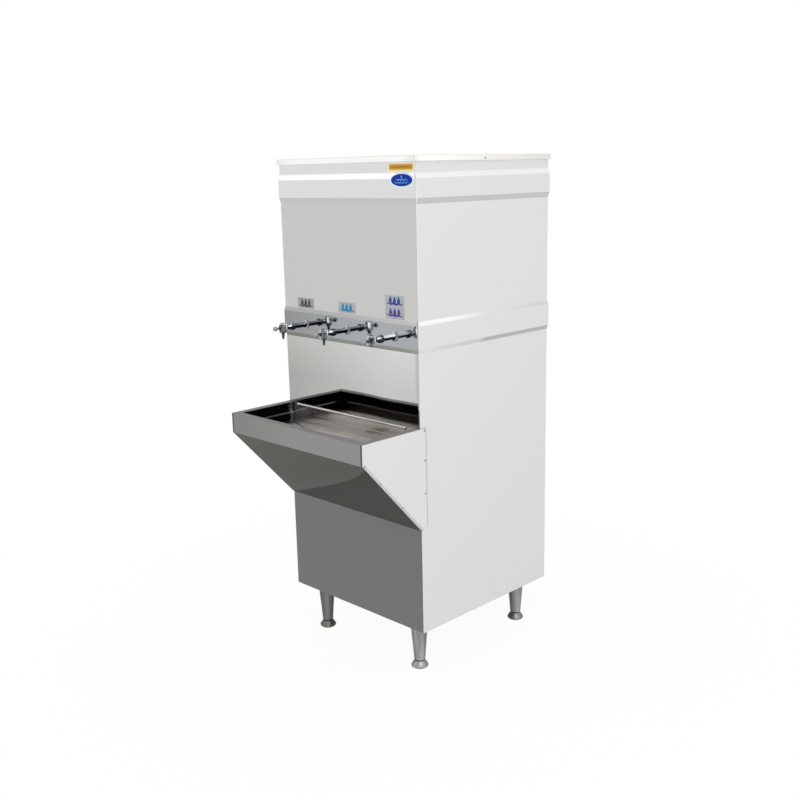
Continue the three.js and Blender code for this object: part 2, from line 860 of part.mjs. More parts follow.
function uprightProfile(profile) {
  const points = profile.map(([radius, height]) => new THREE.Vector2(radius, height));
  return solidOf(new THREE.LatheGeometry(points, tapSides).translate(0, 0, headReach));
}

// The barrel of the valve, domed at both ends
function tapHead() {
  const profile = [];
  for (let step = 0; step <= domeSteps; step += 1) {
    const angle = (step / domeSteps - 1) * Math.PI / 2;
    profile.push([headRadius * Math.cos(angle), -headHalfHeight + headDome * Math.sin(angle)]);
  }
  for (let step = 0; step <= domeSteps; step += 1) {
    const angle = (step / domeSteps) * Math.PI / 2;
    profile.push([headRadius * Math.cos(angle), headHalfHeight + headDome * Math.sin(angle)]);
  }
  profile[0][0] = 0;
  profile[profile.length - 1][0] = 0;
  return uprightProfile(profile);
}

function tapSpout() {
  const tip = -spoutDrop;
  return uprightProfile([
    [0, tip + spoutBoreDepth], [spoutBore, tip + spoutBoreDepth], [spoutBore, tip],
    [spoutTipRadius, tip], [spoutTipRadius, tip + spoutTipRadius],
    [spoutRootRadius, -headHalfHeight], [spoutRootRadius, 0], [0, 0],
  ]);
}

function tapJet() {
  const cupLow = jetRise - jetCupHeight;
  return uprightProfile([
    [0, 0], [jetRadius, 0], [jetRadius, cupLow - jetCupHeight / 2],
    [jetCupRadius, cupLow], [jetCupRadius, jetRise],
    [spoutBore, jetRise - jetCupHeight / 2], [spoutBore, jetRise - spoutBoreDepth / 2],
    [0, jetRise - spoutBoreDepth / 2],
  ]);
}

function makeTaps() {
  const names = ['left', 'middle', 'right'];
  const bore = rod([0, 0, plungerRoot - plungerTravel - plungerEndGap], [0, 0, glandReach + overrun],
    plungerRadius + threadClearance);
  const jetBore = rod([0, jetRise - spoutBoreDepth / 2, headReach], [0, jetRise + overrun, headReach],
    spoutBore, tubeSides);
  const filler = cut(fuse(tapCore(), tapHead(), tapSpout()), bore);
  const fountain = cut(fuse(tapCore(), tapHead(), tapJet()), bore, jetBore);
  const rosette = turned([
    [tapShankRadius + threadClearance, seamGap], [rosetteRadius, seamGap],
    [rosetteRadius, seamGap + rosetteLip], [rosetteRadius - rosetteLip, seamGap + rosetteThickness],
    [tapShankRadius + threadClearance, seamGap + rosetteThickness],
    [tapShankRadius + threadClearance, seamGap],
  ]);
  const nutHigh = -sheet - seamGap;
  const locknut = cut(
    rod([0, 0, nutHigh - locknutThickness], [0, 0, nutHigh], locknutRadius, boltSides),
    rod([0, 0, nutHigh - locknutThickness - overrun], [0, 0, nutHigh + overrun],
      tapShankRadius + threadClearance),
  );
  const plunger = fuse(
    rod([0, 0, plungerRoot], [0, 0, ballReach], plungerRadius),
    solidOf(new THREE.SphereGeometry(ballRadius, turnedSides, turnedSides / 2).translate(0, 0, ballReach)),
  );
  tapPlaces().forEach((x, place) => {
    const tap = new THREE.Group();
    tap.position.set(x, frontY - bandRelief, tapAxisHeight);
    tap.rotation.x = Math.PI / 2;
    group.add(tap);
    const isFountain = place === names.length - 1;
    addPiece(`tap_${names[place]}_body`, isFountain ? fountain : filler, 'chrome', tap);
    addPiece(`tap_${names[place]}_rosette`, rosette, 'chrome', tap);
    addPiece(`tap_${names[place]}_locknut`, locknut, 'brass', tap);
    addPiece(`tap_${names[place]}_plunger`, plunger, 'chrome', tap);
  });
}

// Faces of the insulation and the tank, from the cabinet inwards
function tankFaces() {
  const foamHalfX = halfWidth - sheet - sideSpace;
  const foamFront = frontY + sheet + tapSpace;
  const foamRear = rearY - sheet - rearSpace;
  const foamLow = shelfTop + seamGap;
  const top = cabinetTop - tankDrop;
  const wall = insulationThickness + coilSpace;
  return {
    foamHalfX,
    foamFront,
    foamRear,
    foamLow,
    foamHalfY: (foamRear - foamFront) / 2,
    centreY: (foamFront + foamRear) / 2,
    halfX: foamHalfX - wall,
    halfY: (foamRear - foamFront) / 2 - wall,
    front: foamFront + wall,
    low: foamLow + insulationThickness + seamGap,
    top,
  };
}

function filterY() {
  return rearY - filterRearInset;
}

function compressorY() {
  return frontY + compressorInset;
}

function drierY() {
  return frontY + drierInset;
}

function makeTank() {
  const tank = tankFaces();
  const outletZ = tank.low + outletRise;
  const floatZ = tank.top - floatDrop;
  function shellAt(inset, low, high) {
    return loft([low, high].map((height) => roundedLoop(
      tank.halfX - inset, tank.halfY - inset, tankCorner - inset, height, tank.centreY, tankFacets)));
  }
  const stubs = tapPlaces().map((x) => rod(
    [x, tank.foamFront - outletStub, outletZ], [x, tank.front + tankSheet, outletZ], outletRadius));
  const bores = tapPlaces().map((x) => rod(
    [x, tank.foamFront - overrun - outletStub, outletZ], [x, tank.front + overrun, outletZ],
    outletBore, tubeSides));
  const flange = shellAt(-tankFlange, tank.top - tankSheet, tank.top);
  const valveHole = rod([-tank.halfX - overrun, filterY(), floatZ],
    [-tank.halfX + overrun, filterY(), floatZ], floatStemRadius + threadClearance);
  const hollow = shellAt(tankSheet, tank.low + tankSheet, tank.top + overrun);
  const body = cut(fuse(shellAt(0, tank.low, tank.top), flange), hollow);
  addPiece('tank', cut(fuse(body, ...stubs), ...bores, valveHole), 'brightSheet');

  const foamTop = tank.top - tankSheet - seamGap;
  const foam = roundedBlock(tank.foamHalfX, tank.foamHalfY, tankCorner, tank.foamLow, foamTop, tank.centreY);
  const pocket = shellAt(-coilSpace, tank.low - seamGap, foamTop + overrun);
  const passages = tapPlaces().map((x) => rod(
    [x, tank.foamFront - overrun, outletZ], [x, tank.front, outletZ], outletRadius + threadClearance));
  passages.push(rod([-tank.foamHalfX - overrun, filterY(), floatZ], [-tank.halfX, filterY(), floatZ],
    lineRadius + lineClearance));
  for (const [side, y, z] of coilLeads()) {
    passages.push(rod([side * (tank.foamHalfX + overrun), y, z], [side * tank.halfX, y, z], coilPassage));
  }
  addPiece('tank_insulation', cut(foam, pocket, ...passages), 'foam');

  const coverLow = tank.top + seamGap;
  const cover = fuse(
    roundedBlock(tank.halfX + tankFlange, tank.halfY + tankFlange, tankCorner + tankFlange,
      coverLow, coverLow + coverThickness, tank.centreY),
    turned([
      [0, 0], [coverKnobRadius / 2, 0], [coverKnobRadius / 2, coverKnobHeight / 2],
      [coverKnobRadius, coverKnobHeight * 2 / 3], [coverKnobRadius, coverKnobHeight],
      [0, coverKnobHeight],
    ]).translate([0, tank.centreY, coverLow + coverThickness / 2]),
  );
  addPiece('tank_cover', cover, 'brightSheet');
}

// Where the two ends of the coil leave the insulation: side, Y and height
function coilLeads() {
  const low = tankFaces().low + coilRise;
  return [
    [1, drierY(), low],
    [-1, compressorY(), low + coilPitch * coilTurns],
  ];
}

// The coil climbs the outside of the tank in rounded rectangles, from the lead on
// the right side to the lead on the left side
function makeCoil() {
  const tank = tankFaces();
  const out = coilTube + seamGap;
  const halfX = tank.halfX + out;
  const [[, startY, startZ], [, endY, endZ]] = coilLeads();
  const loop = roundedLoop(halfX, tank.halfY + out, tankCorner + out, 0, tank.centreY, tankFacets);
  const halfLoop = 2 * (tankFacets + 1);
  const route = [new THREE.Vector3(halfX, startY, 0)];
  for (let place = 0; place < (coilTurns - 1) * loop.length + halfLoop; place += 1) {
    route.push(loop[place % loop.length].clone());
  }
  route.push(new THREE.Vector3(-halfX, endY, 0));
  let travelled = 0;
  const distances = route.map((point, place) => {
    travelled += place === 0 ? 0 : point.distanceTo(route[place - 1]);
    return travelled;
  });
  route.forEach((point, place) => {
    point.z = startZ + (endZ - startZ) * distances[place] / travelled;
  });
  const entry = [[tank.foamHalfX, startY, startZ], route[0].toArray(), route[1].toArray()];
  const exit = [route.at(-2).toArray(), route.at(-1).toArray(), [-tank.foamHalfX, endY, endZ]];
  const points = [
    ...easedPoints(entry, coilLeadBend).slice(0, -1),
    ...route.slice(1, -1),
    ...easedPoints(exit, coilLeadBend).slice(1),
  ];
  addPiece('evaporator_coil', sweep(points, coilTube, thinTubeSides), 'copper');
}

// The float valve on the left wall of the tank, and its arm with the ball
function makeFloatValve() {
  const tank = tankFaces();
  const y = filterY();
  const z = tank.top - floatDrop;
  const wallIn = -tank.halfX + tankSheet + seamGap;
  const bodyEnd = wallIn + floatBodyLength;
  const pinX = bodyEnd + floatEarLength - floatEyeRadius;
  const earHalf = floatEarSpace / 2;
  const ears = [-1, 1].map((side) => {
    const [low, high] = [side * earHalf, side * (earHalf + floatEarThickness)].sort((a, b) => a - b);
    return block([bodyEnd - overrun, y + low, z - floatEyeRadius],
      [bodyEnd + floatEarLength, y + high, z + floatEyeRadius]);
  });
  const valve = fuse(
    rod([-tank.halfX - coilSpace / 2, y, z], [wallIn + overrun, y, z], floatStemRadius),
    rod([wallIn, y, z], [bodyEnd, y, z], floatBodyRadius),
    ...ears,
    rod([pinX, y - earHalf - sheet, z], [pinX, y + earHalf + sheet, z], floatPinRadius, tubeSides),
  );
  addPiece('float_valve', valve, 'brass');

  const eyeHalf = earHalf - threadClearance - seamGap;
  const eye = cut(
    rod([0, -eyeHalf, 0], [0, eyeHalf, 0], floatEyeRadius),
    rod([0, -overrun, 0], [0, overrun, 0], floatPinRadius + threadClearance, tubeSides),
  );
  const arm = fuse(
    eye,
    rod([floatEyeRadius - floatRodRadius / 2, 0, 0], [floatArmLength, 0, 0], floatRodRadius, tubeSides),
    solidOf(new THREE.SphereGeometry(floatBallRadius, turnedSides, turnedSides / 2)
      .translate(floatArmLength, 0, 0)),
  );
  addPiece('float_arm', arm, 'whitePlastic', group, [pinX, y, z]);
}

// Hoses from the tank outlets to the taps
function makeSupplyHoses() {
  const tank = tankFaces();
  const names = ['left', 'middle', 'right'];
  const start = tank.foamFront - outletStub - seamGap;
  const end = frontY - bandRelief + tapShankLength + seamGap;
  const run = (start + end) / 2;
  const outletZ = tank.low + outletRise;
  tapPlaces().forEach((x, place) => {
    const hose = line([
      [x, start, outletZ], [x, run, outletZ], [x, run, tapAxisHeight], [x, end, tapAxisHeight],
    ], supplyHoseRadius, supplyHoseBend, tubeSides);
    addPiece(`supply_hose_${names[place]}`, hose, 'clearHose');
  });
}

// The shelf under the tank, with downturned flanges that are riveted to the side panels
function makeShelf() {
  const half = halfWidth - sheet - seamGap;
  const halfDepth = cabinetDepth / 2 - sheet - seamGap;
  const low = shelfTop - shelfFlange;
  const board = roundedBlock(half, halfDepth, cornerRadius, low, shelfTop, middleY);
  const channel = block([-half + sheet, frontY - overrun, low - overrun],
    [half - sheet, rearY + overrun, shelfTop - shelfThickness]);
  const passages = [
    [-sideLineX, filterY()],
    [-sideLineX, compressorY()],
    [sideLineX, drierY()],
  ].map(([x, y]) => rod([x, y, low - overrun], [x, y, shelfTop + overrun], lineRadius + lineClearance));
  addPiece('tank_shelf', cut(board, channel, ...passages), 'galvanised');
}

// The compressor: a welded shell on a plate with four rubber feet
function makeCompressor() {
  const plateLow = grommetHeight;
  const plateHigh = plateLow + compressorPlate;
  const shellHigh = plateHigh + compressorHeight;
  const seam = plateHigh + compressorHeight / 2;
  const dome = compressorRadius / 2;
  const profile = [[0, plateLow + compressorPlate / 2]];
  for (let step = 0; step <= domeSteps; step += 1) {
    const angle = (step / domeSteps - 1) * Math.PI / 2;
    const radius = compressorRadius * (0.5 + Math.cos(angle) / 2);
    profile.push([radius, plateHigh + dome * (1 + Math.sin(angle)) - compressorPlate / 2]);
  }
  profile.push(
    [compressorRadius, seam - compressorPlate], [compressorRadius + compressorPlate, seam - compressorPlate],
    [compressorRadius + compressorPlate, seam + compressorPlate], [compressorRadius, seam + compressorPlate],
  );
  for (let step = 0; step < domeSteps; step += 1) {
    const angle = (step / domeSteps) * Math.PI / 2;
    profile.push([compressorRadius * Math.cos(angle), shellHigh - dome * (1 - Math.sin(angle))]);
  }
  profile.push([0, shellHigh]);
  const plate = roundedBlock(compressorPlateX / 2, compressorPlateY / 2, grommetRadius, plateLow, plateHigh);
  const grommets = [[-1, -1], [1, -1], [1, 1], [-1, 1]].map(([sx, sy]) => {
    const x = sx * (compressorPlateX / 2 - grommetInset);
    const y = sy * (compressorPlateY / 2 - grommetInset);
    return rod([x, y, 0], [x, y, plateLow + compressorPlate / 2], grommetRadius, tubeSides);
  });
  const suctionEnd = -compressorRadius - portLength;
  const ports = [
    rod([suctionEnd, 0, suctionPortRise], [0, 0, suctionPortRise], portRadius, tubeSides),
    rod([0, 0, dischargePortRise], [compressorRadius + portLength, 0, dischargePortRise],
      portRadius, tubeSides),
  ];
  addPiece('compressor', fuse(turned(profile), plate, ...grommets, ...ports), 'blackEnamel',
    group, [compressorX, compressorY(), panTop + seamGap]);
}

// Faces of the condenser block
function condenserFaces() {
  const rear = rearY - sheet - condenserRearGap;
  return {
    left: condenserX - condenserWidth / 2,
    right: condenserX + condenserWidth / 2,
    front: rear - condenserDepth,
    rear,
    low: panTop + seamGap + condenserFootHeight,
    high: panTop + seamGap + condenserFootHeight + condenserHeight,
  };
}

// The condenser: upright fins on a core between two end plates, with return bends
function makeCondenser() {
  const { left, right, front, rear, low, high } = condenserFaces();
  const pitch = (right - left - 2 * condenserPlate) / finCount;
  const outline = [];
  const frontSide = [];
  for (let fin = 0; fin < finCount; fin += 1) {
    const start = left + condenserPlate + fin * pitch + pitch * (1 - finShare) / 2;
    const end = start + pitch * finShare;
    outline.push([start, front + finDepth], [start, front], [end, front], [end, front + finDepth]);
    frontSide.push([start, rear - finDepth], [start, rear], [end, rear], [end, rear - finDepth]);
  }
  const comb = prismUp([
    [left, front + finDepth], ...outline, [right, front + finDepth],
    [right, rear - finDepth], ...frontSide.reverse(), [left, rear - finDepth],
  ], low, high);
  const ground = low - condenserFootHeight;
  const ends = [left, right - condenserPlate].map((x) => block(
    [x, front, ground], [x + condenserPlate, rear, high]));
  const feet = [left, right - condenserFootWidth].map((x) => block(
    [x, front, ground], [x + condenserFootWidth, rear, ground + condenserPlate]));
  const middle = (front + rear) / 2;
  const bends = [];
  for (let place = 0; place < returnBendCount; place += 1) {
    const z = low + (high - low) * (place + 0.5) / returnBendCount;
    bends.push(line([
      [left + condenserPlate, middle, z - returnBendRadius],
      [left - returnBendRadius, middle, z - returnBendRadius],
      [left - returnBendRadius, middle, z + returnBendRadius],
      [left + condenserPlate, middle, z + returnBendRadius],
    ], returnBendTube, returnBendEase));
  }
  addPiece('condenser', fuse(comb, ...ends, ...feet, ...bends), 'aluminium');
}

function fanPlace() {
  const { front, low } = condenserFaces();
  return { x: condenserX, plateRear: front - seamGap, z: low + condenserHeight / 2 };
}

// The fan: a ring on the condenser, a motor on three arms and a rotor with pitched blades
function makeFan() {
  const { x, plateRear, z } = fanPlace();
  const half = condenserWidth / 2;
  const halfHeight = condenserHeight / 2;
  const ringIn = fanRadius + fanTipClearance;
  const ringOut = ringIn + fanRingWall;
  const ringFront = plateRear - fanRingDepth;
  const plate = block([x - half, plateRear - fanPlate, z - halfHeight],
    [x + half, plateRear, z + halfHeight]);
  const ring = rod([x, ringFront, z], [x, plateRear, z], ringOut, legSides);
  const throat = rod([x, ringFront - overrun, z], [x, plateRear + overrun, z], ringIn, legSides);
  addPiece('fan_shroud', cut(fuse(plate, ring), throat), 'blackPlastic');

  const motorRear = ringFront - fanArmThickness;
  const motorFront = motorRear - fanMotorLength;
  const arms = [];
  for (let place = 0; place < fanArmCount; place += 1) {
    const angle = place * 2 * Math.PI / fanArmCount + Math.PI / 2;
    const arm = new THREE.BoxGeometry(ringOut, fanArmThickness, fanArmWidth)
      .translate(ringOut / 2, motorRear - seamGap + fanArmThickness / 2, 0)
      .rotateY(angle)
      .translate(x, 0, z);
    arms.push(solidOf(arm));
  }
  const hubFace = plateRear - fanPlate - fanHubDepth;
  const motor = fuse(
    rod([x, motorFront, z], [x, motorRear + fanArmThickness - seamGap, z], fanMotorRadius),
    rod([x, motorRear, z], [x, hubFace + fanShaftLength, z], fanShaftRadius, tubeSides),
    ...arms,
  );
  addPiece('fan_motor', motor, 'blackEnamel');

  const shaftBore = rod([0, -overrun, 0], [0, fanShaftLength + fanShaftClearance, 0],
    fanShaftRadius + fanShaftClearance, tubeSides);
  const hub = rod([0, 0, 0], [0, fanHubDepth, 0], fanHubRadius);
  const blades = [];
  const bladeLength = fanRadius - fanHubRadius / 2;
  for (let place = 0; place < fanBladeCount; place += 1) {
    const pitchAngle = Math.asin(fanBladeDepth / fanBladeWidth);
    const blade = new THREE.BoxGeometry(bladeLength, fanBladeThickness, fanBladeWidth)
      .rotateX(pitchAngle)
      .translate(fanHubRadius / 2 + bladeLength / 2, fanHubDepth / 2, 0)
      .rotateY(place * 2 * Math.PI / fanBladeCount);
    blades.push(solidOf(blade));
  }
  const reach = rod([0, -overrun, 0], [0, fanHubDepth + overrun, 0], fanRadius, legSides);
  const rotor = cut(fuse(hub, ...blades).intersect(reach), shaftBore);
  addPiece('fan_rotor', rotor, 'blackPlastic', group, [x, hubFace, z]);
}

// Refrigerant lines: to the condenser, through the drier to the coil, and back
function makeRefrigerantLines() {
  const tank = tankFaces();
  const condenser = condenserFaces();
  const middle = (condenser.front + condenser.rear) / 2;
  const [lowLead, highLead] = coilLeads();
  const base = panTop + seamGap;
  const dischargeX = compressorX + compressorRadius + portLength + seamGap;
  const dischargeZ = base + dischargePortRise;
  const turnX = dischargeX + 2 * lineBend;
  const discharge = line([
    [dischargeX, compressorY(), dischargeZ],
    [turnX, compressorY(), dischargeZ],
    [turnX, compressorY(), condenser.high + liquidRise],
    [turnX, middle, condenser.high + liquidRise],
    [turnX, middle, condenser.high + seamGap],
  ], lineRadius, lineBend);
  addPiece('discharge_line', discharge, 'copper');

  const drierRadius = sideSpace / 2 - 2 * seamGap;
  const drierLow = cabinetBottom + drierRise;
  const drierHigh = drierLow + drierLength;
  const neck = drierRadius;
  const drier = turned([
    [0, drierLow], [lineRadius, drierLow], [drierRadius, drierLow + neck],
    [drierRadius, drierHigh - neck], [lineRadius, drierHigh], [0, drierHigh],
  ]).translate([sideLineX, drierY(), 0]);
  const liquid = line([
    [condenser.right + seamGap, middle, condenser.low + liquidRise],
    [sideLineX, middle, condenser.low + liquidRise],
    [sideLineX, drierY(), condenser.low + liquidRise],
    [sideLineX, drierY(), lowLead[2]],
    [tank.foamHalfX + seamGap, drierY(), lowLead[2]],
  ], lineRadius, lineBend);
  addPiece('filter_drier', fuse(liquid, drier), 'copper');

  const suctionZ = base + suctionPortRise;
  const suction = line([
    [-tank.foamHalfX - seamGap, compressorY(), highLead[2]],
    [-sideLineX, compressorY(), highLead[2]],
    [-sideLineX, compressorY(), suctionZ],
    [compressorX - compressorRadius - portLength - seamGap, compressorY(), suctionZ],
  ], lineRadius, lineBend);
  addPiece('suction_line', suction, 'copper');
}

// Mains water: inlet fitting, filter under the shelf and the lines to the float valve
function makeWaterPath() {
  const inletZ = cabinetBottom + inletRise;
  const wallIn = rearY - sheet;
  const nutIn = wallIn - seamGap - inletNutThickness;
  const fitting = fuse(
    rod([inletX, nutIn, inletZ], [inletX, rearY + inletReach, inletZ], inletRadius),
    rod([inletX, nutIn, inletZ], [inletX, wallIn - seamGap, inletZ], inletNutRadius, boltSides),
    rod([inletX, rearY + seamGap, inletZ], [inletX, rearY + seamGap + inletNutThickness, inletZ],
      inletNutRadius, boltSides),
    rod([inletX, wallIn - inletBarbLength, inletZ], [inletX, wallIn, inletZ], inletBarbRadius, tubeSides),
  );
  const mouth = rod([inletX, rearY, inletZ], [inletX, rearY + inletReach + overrun, inletZ],
    inletBarbRadius, tubeSides);
  addPiece('inlet_fitting', cut(fitting, mouth), 'brass');

  const y = filterY();
  const headTop = shelfTop - shelfThickness - seamGap;
  const headLow = headTop - filterHeadHeight;
  const portZ = (headTop + headLow) / 2;
  const dome = filterRadius / 2;
  const bowl = turned([
    [0, headLow - filterLength], [filterRadius - dome / 2, headLow - filterLength],
    [filterRadius, headLow - filterLength + dome], [filterRadius, headLow],
    [filterHeadRadius, headLow], [filterHeadRadius, headTop], [0, headTop],
  ]).translate([filterX, y, 0]);
  const portReach = filterHeadRadius + filterPortLength;
  const sideReach = filterHeadRadius + filterSidePortLength;
  const filter = fuse(
    bowl,
    rod([filterX, y, portZ], [filterX, y + portReach, portZ], filterPortRadius, tubeSides),
    rod([filterX, y, portZ], [filterX - sideReach, y, portZ], filterPortRadius, tubeSides),
  );
  addPiece('water_filter', filter, 'whitePlastic');

  const barbEnd = wallIn - inletBarbLength - seamGap;
  const turnY = barbEnd - 2 * lineBend;
  addPiece('water_line_in', line([
    [inletX, barbEnd, inletZ], [inletX, turnY, inletZ],
    [filterX, turnY, portZ], [filterX, y + portReach + seamGap, portZ],
  ], lineRadius, lineBend), 'clearHose');

  const tank = tankFaces();
  const floatZ = tank.top - floatDrop;
  addPiece('water_line_up', line([
    [filterX - sideReach - seamGap, y, portZ], [-sideLineX, y, portZ],
    [-sideLineX, y, floatZ], [-tank.halfX - coilSpace / 2 - seamGap, y, floatZ],
  ], lineRadius, lineBend), 'clearHose');
}

// Cord gland without its cord, and the thermostat with its knob, on the rear panel
function makeRearFittings() {
  const glandZ = cabinetBottom + cordGlandRise;
  const neckRadius = cordGlandRadius - sheet;
  const gland = turned([
    [cordGlandBore, -sheet - 2 * seamGap - inletNutThickness],
    [inletNutRadius, -sheet - 2 * seamGap - inletNutThickness],
    [inletNutRadius, -sheet - seamGap], [neckRadius, -sheet - seamGap],
    [neckRadius, seamGap], [cordGlandRadius + 2 * sheet, seamGap],
    [cordGlandRadius, cordGlandReach / 2], [cordGlandRadius * 2 / 3, cordGlandReach],
    [cordGlandBore, cordGlandReach],
    [cordGlandBore, -sheet - 2 * seamGap - inletNutThickness],
  ]);
  const glandMesh = addPiece('cord_gland', gland, 'blackPlastic', group, [glandX, rearY, glandZ]);
  glandMesh.rotation.x = -Math.PI / 2;

  const z = cabinetBottom + thermostatRise;
  const wallIn = rearY - sheet - seamGap;
  const shaftEnd = rearY + thermostatShaftReach;
  const housing = fuse(
    block([thermostatX - thermostatWidth / 2, wallIn - thermostatDepth, z - thermostatHeight / 2],
      [thermostatX + thermostatWidth / 2, wallIn, z + thermostatHeight / 2]),
    rod([thermostatX, wallIn - sheet, z], [thermostatX, shaftEnd, z], thermostatShaftRadius, tubeSides),
  );
  addPiece('thermostat', housing, 'blackPlastic');

  const knob = fuse(
    turned([[0, 0], [knobRadius, 0], [knobRadius - knobPointerRise, knobDepth], [0, knobDepth]]),
    block([-knobPointerWidth / 2, 0, knobDepth / 2],
      [knobPointerWidth / 2, knobRadius - knobPointerRise, knobDepth + knobPointerRise]),
  );
  const socketDepth = thermostatShaftReach - 2 * knobPlay + seamGap;
  const socket = rod([0, 0, -overrun], [0, 0, socketDepth],
    thermostatShaftRadius + threadClearance, tubeSides);
  const knobMesh = addPiece('thermostat_knob', cut(knob, socket), 'blackPlastic',
    group, [thermostatX, rearY + 2 * knobPlay, z]);
  knobMesh.rotation.x = -Math.PI / 2;
}

makeCabinet();
makeBase();
makeLid();
makeApron();
makeBasin();
makeDrain();
makeTaps();
makeTank();
makeCoil();
makeFloatValve();
makeSupplyHoses();
makeShelf();
makeCompressor();
makeCondenser();
makeFan();
makeRefrigerantLines();
makeWaterPath();
makeRearFittings();

export default group;
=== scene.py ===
# %% [markdown]
# # Dressing a drinking water cooler
# The packed model already holds every panel, tap, leg and pipe at its real size.
# Blender adds what a solid model lacks: the finish of each surface, the fine turned
# edges of the chrome, the small rivets and plates, and a plain studio to see it in.
# Every length here is in metres, and the front of the cooler faces -Y.

# %% Load the packed model
from math import cos, pi, radians, sin

import bpy
from mathutils import Matrix, Vector


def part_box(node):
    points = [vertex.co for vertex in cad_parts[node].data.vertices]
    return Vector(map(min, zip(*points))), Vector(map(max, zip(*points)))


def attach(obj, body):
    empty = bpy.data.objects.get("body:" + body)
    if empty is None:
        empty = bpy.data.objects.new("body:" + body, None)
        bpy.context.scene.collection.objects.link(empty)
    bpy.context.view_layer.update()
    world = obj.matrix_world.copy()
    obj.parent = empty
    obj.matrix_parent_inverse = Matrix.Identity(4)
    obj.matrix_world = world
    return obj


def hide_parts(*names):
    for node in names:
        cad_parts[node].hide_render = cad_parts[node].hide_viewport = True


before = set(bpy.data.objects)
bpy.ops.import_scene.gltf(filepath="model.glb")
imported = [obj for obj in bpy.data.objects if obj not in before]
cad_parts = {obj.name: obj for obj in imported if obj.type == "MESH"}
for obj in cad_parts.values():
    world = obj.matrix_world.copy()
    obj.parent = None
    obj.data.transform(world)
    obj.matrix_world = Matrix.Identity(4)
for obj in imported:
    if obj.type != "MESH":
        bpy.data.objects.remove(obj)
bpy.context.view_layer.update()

# %% [markdown]
# ## The camera
# The photograph was taken from nearly the height of the lid, off the front right
# corner. The place, the heading and the lens were fitted to the edges of the
# cabinet, so the render can be laid over the photograph. A camera that is guessed by
# eye would put every later comparison of shapes in doubt.

# %% The camera
CAMERA_PLACE = Vector((2.0171, -1.9883, 1.3579))
CAMERA_HEADING = 45.20
CAMERA_DIP = 12.75
CAMERA_ROLL = -1.285
CAMERA_LENS = 45.55


def new_object(name, data):
    """An object in the scene that holds a camera, a mesh or a lamp."""
    made = bpy.data.objects.new(name, data)
    bpy.context.scene.collection.objects.link(made)
    return made


def aim(heading, dip, roll):
    """A view along +Y, turned left by heading, down by dip, and rolled."""
    turn = Matrix.Rotation(radians(heading), 4, "Z")
    tilt = Matrix.Rotation(radians(90 - dip), 4, "X")
    return turn @ tilt @ Matrix.Rotation(radians(roll), 4, "Z")


camera = new_object("camera", bpy.data.cameras.new("camera"))
camera.data.lens = CAMERA_LENS
camera.matrix_world = (Matrix.Translation(CAMERA_PLACE)
                       @ aim(CAMERA_HEADING, CAMERA_DIP, CAMERA_ROLL))
bpy.context.scene.camera = camera
print("camera stands", round(CAMERA_PLACE.xy.length, 2), "m from the middle of the cooler")

# %% [markdown]
# ## Landmarks
# Finishes change at folds and bands, so their heights are needed again and again.
# They are read off the packed nodes where a node ends there. The raised bands lie
# inside a panel, so their heights are named here once.

# %% Landmarks
MM = 0.001
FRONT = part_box("front_panel_lower")[0].y
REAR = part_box("side_panel_right")[1].y
HALF_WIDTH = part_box("front_panel_splash")[1].x
TAP_AXIS = sum(corner.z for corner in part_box("tap_left_rosette")) / 2
TRAY_LOW, TRAY_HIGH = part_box("tray_apron")
SPLASH_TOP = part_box("front_panel_splash")[1].z
LID_LOW, LID_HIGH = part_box("lid")
BAND_RELIEF = 3 * MM
UPPER_BEVEL = 13 * MM
TAP_BEVEL = 11 * MM
TAP_BAND_LOW = SPLASH_TOP + TAP_BEVEL
SLOPE_TOP = TRAY_HIGH.z - 55 * MM
SLOPE_LOW = TRAY_LOW.z
TAP_BAND_HIGH = TAP_BAND_LOW + 60 * MM
UPPER_BAND_HIGH = LID_HIGH.z - 57 * MM
UPPER_BAND_LOW = UPPER_BAND_HIGH - 47 * MM
print("front wall at", round(FRONT, 4), "tap axis at", round(TAP_AXIS, 4))

# %% [markdown]
# ## A small language for finishes
# A finish is a sum of masks and noises. Built node by node it is long to read, so
# one class wraps a shader socket and lets Python's own operators add the Math
# nodes. Every other node comes from its one method, make. Colours go through Mix
# nodes, because a Math node would turn them grey.

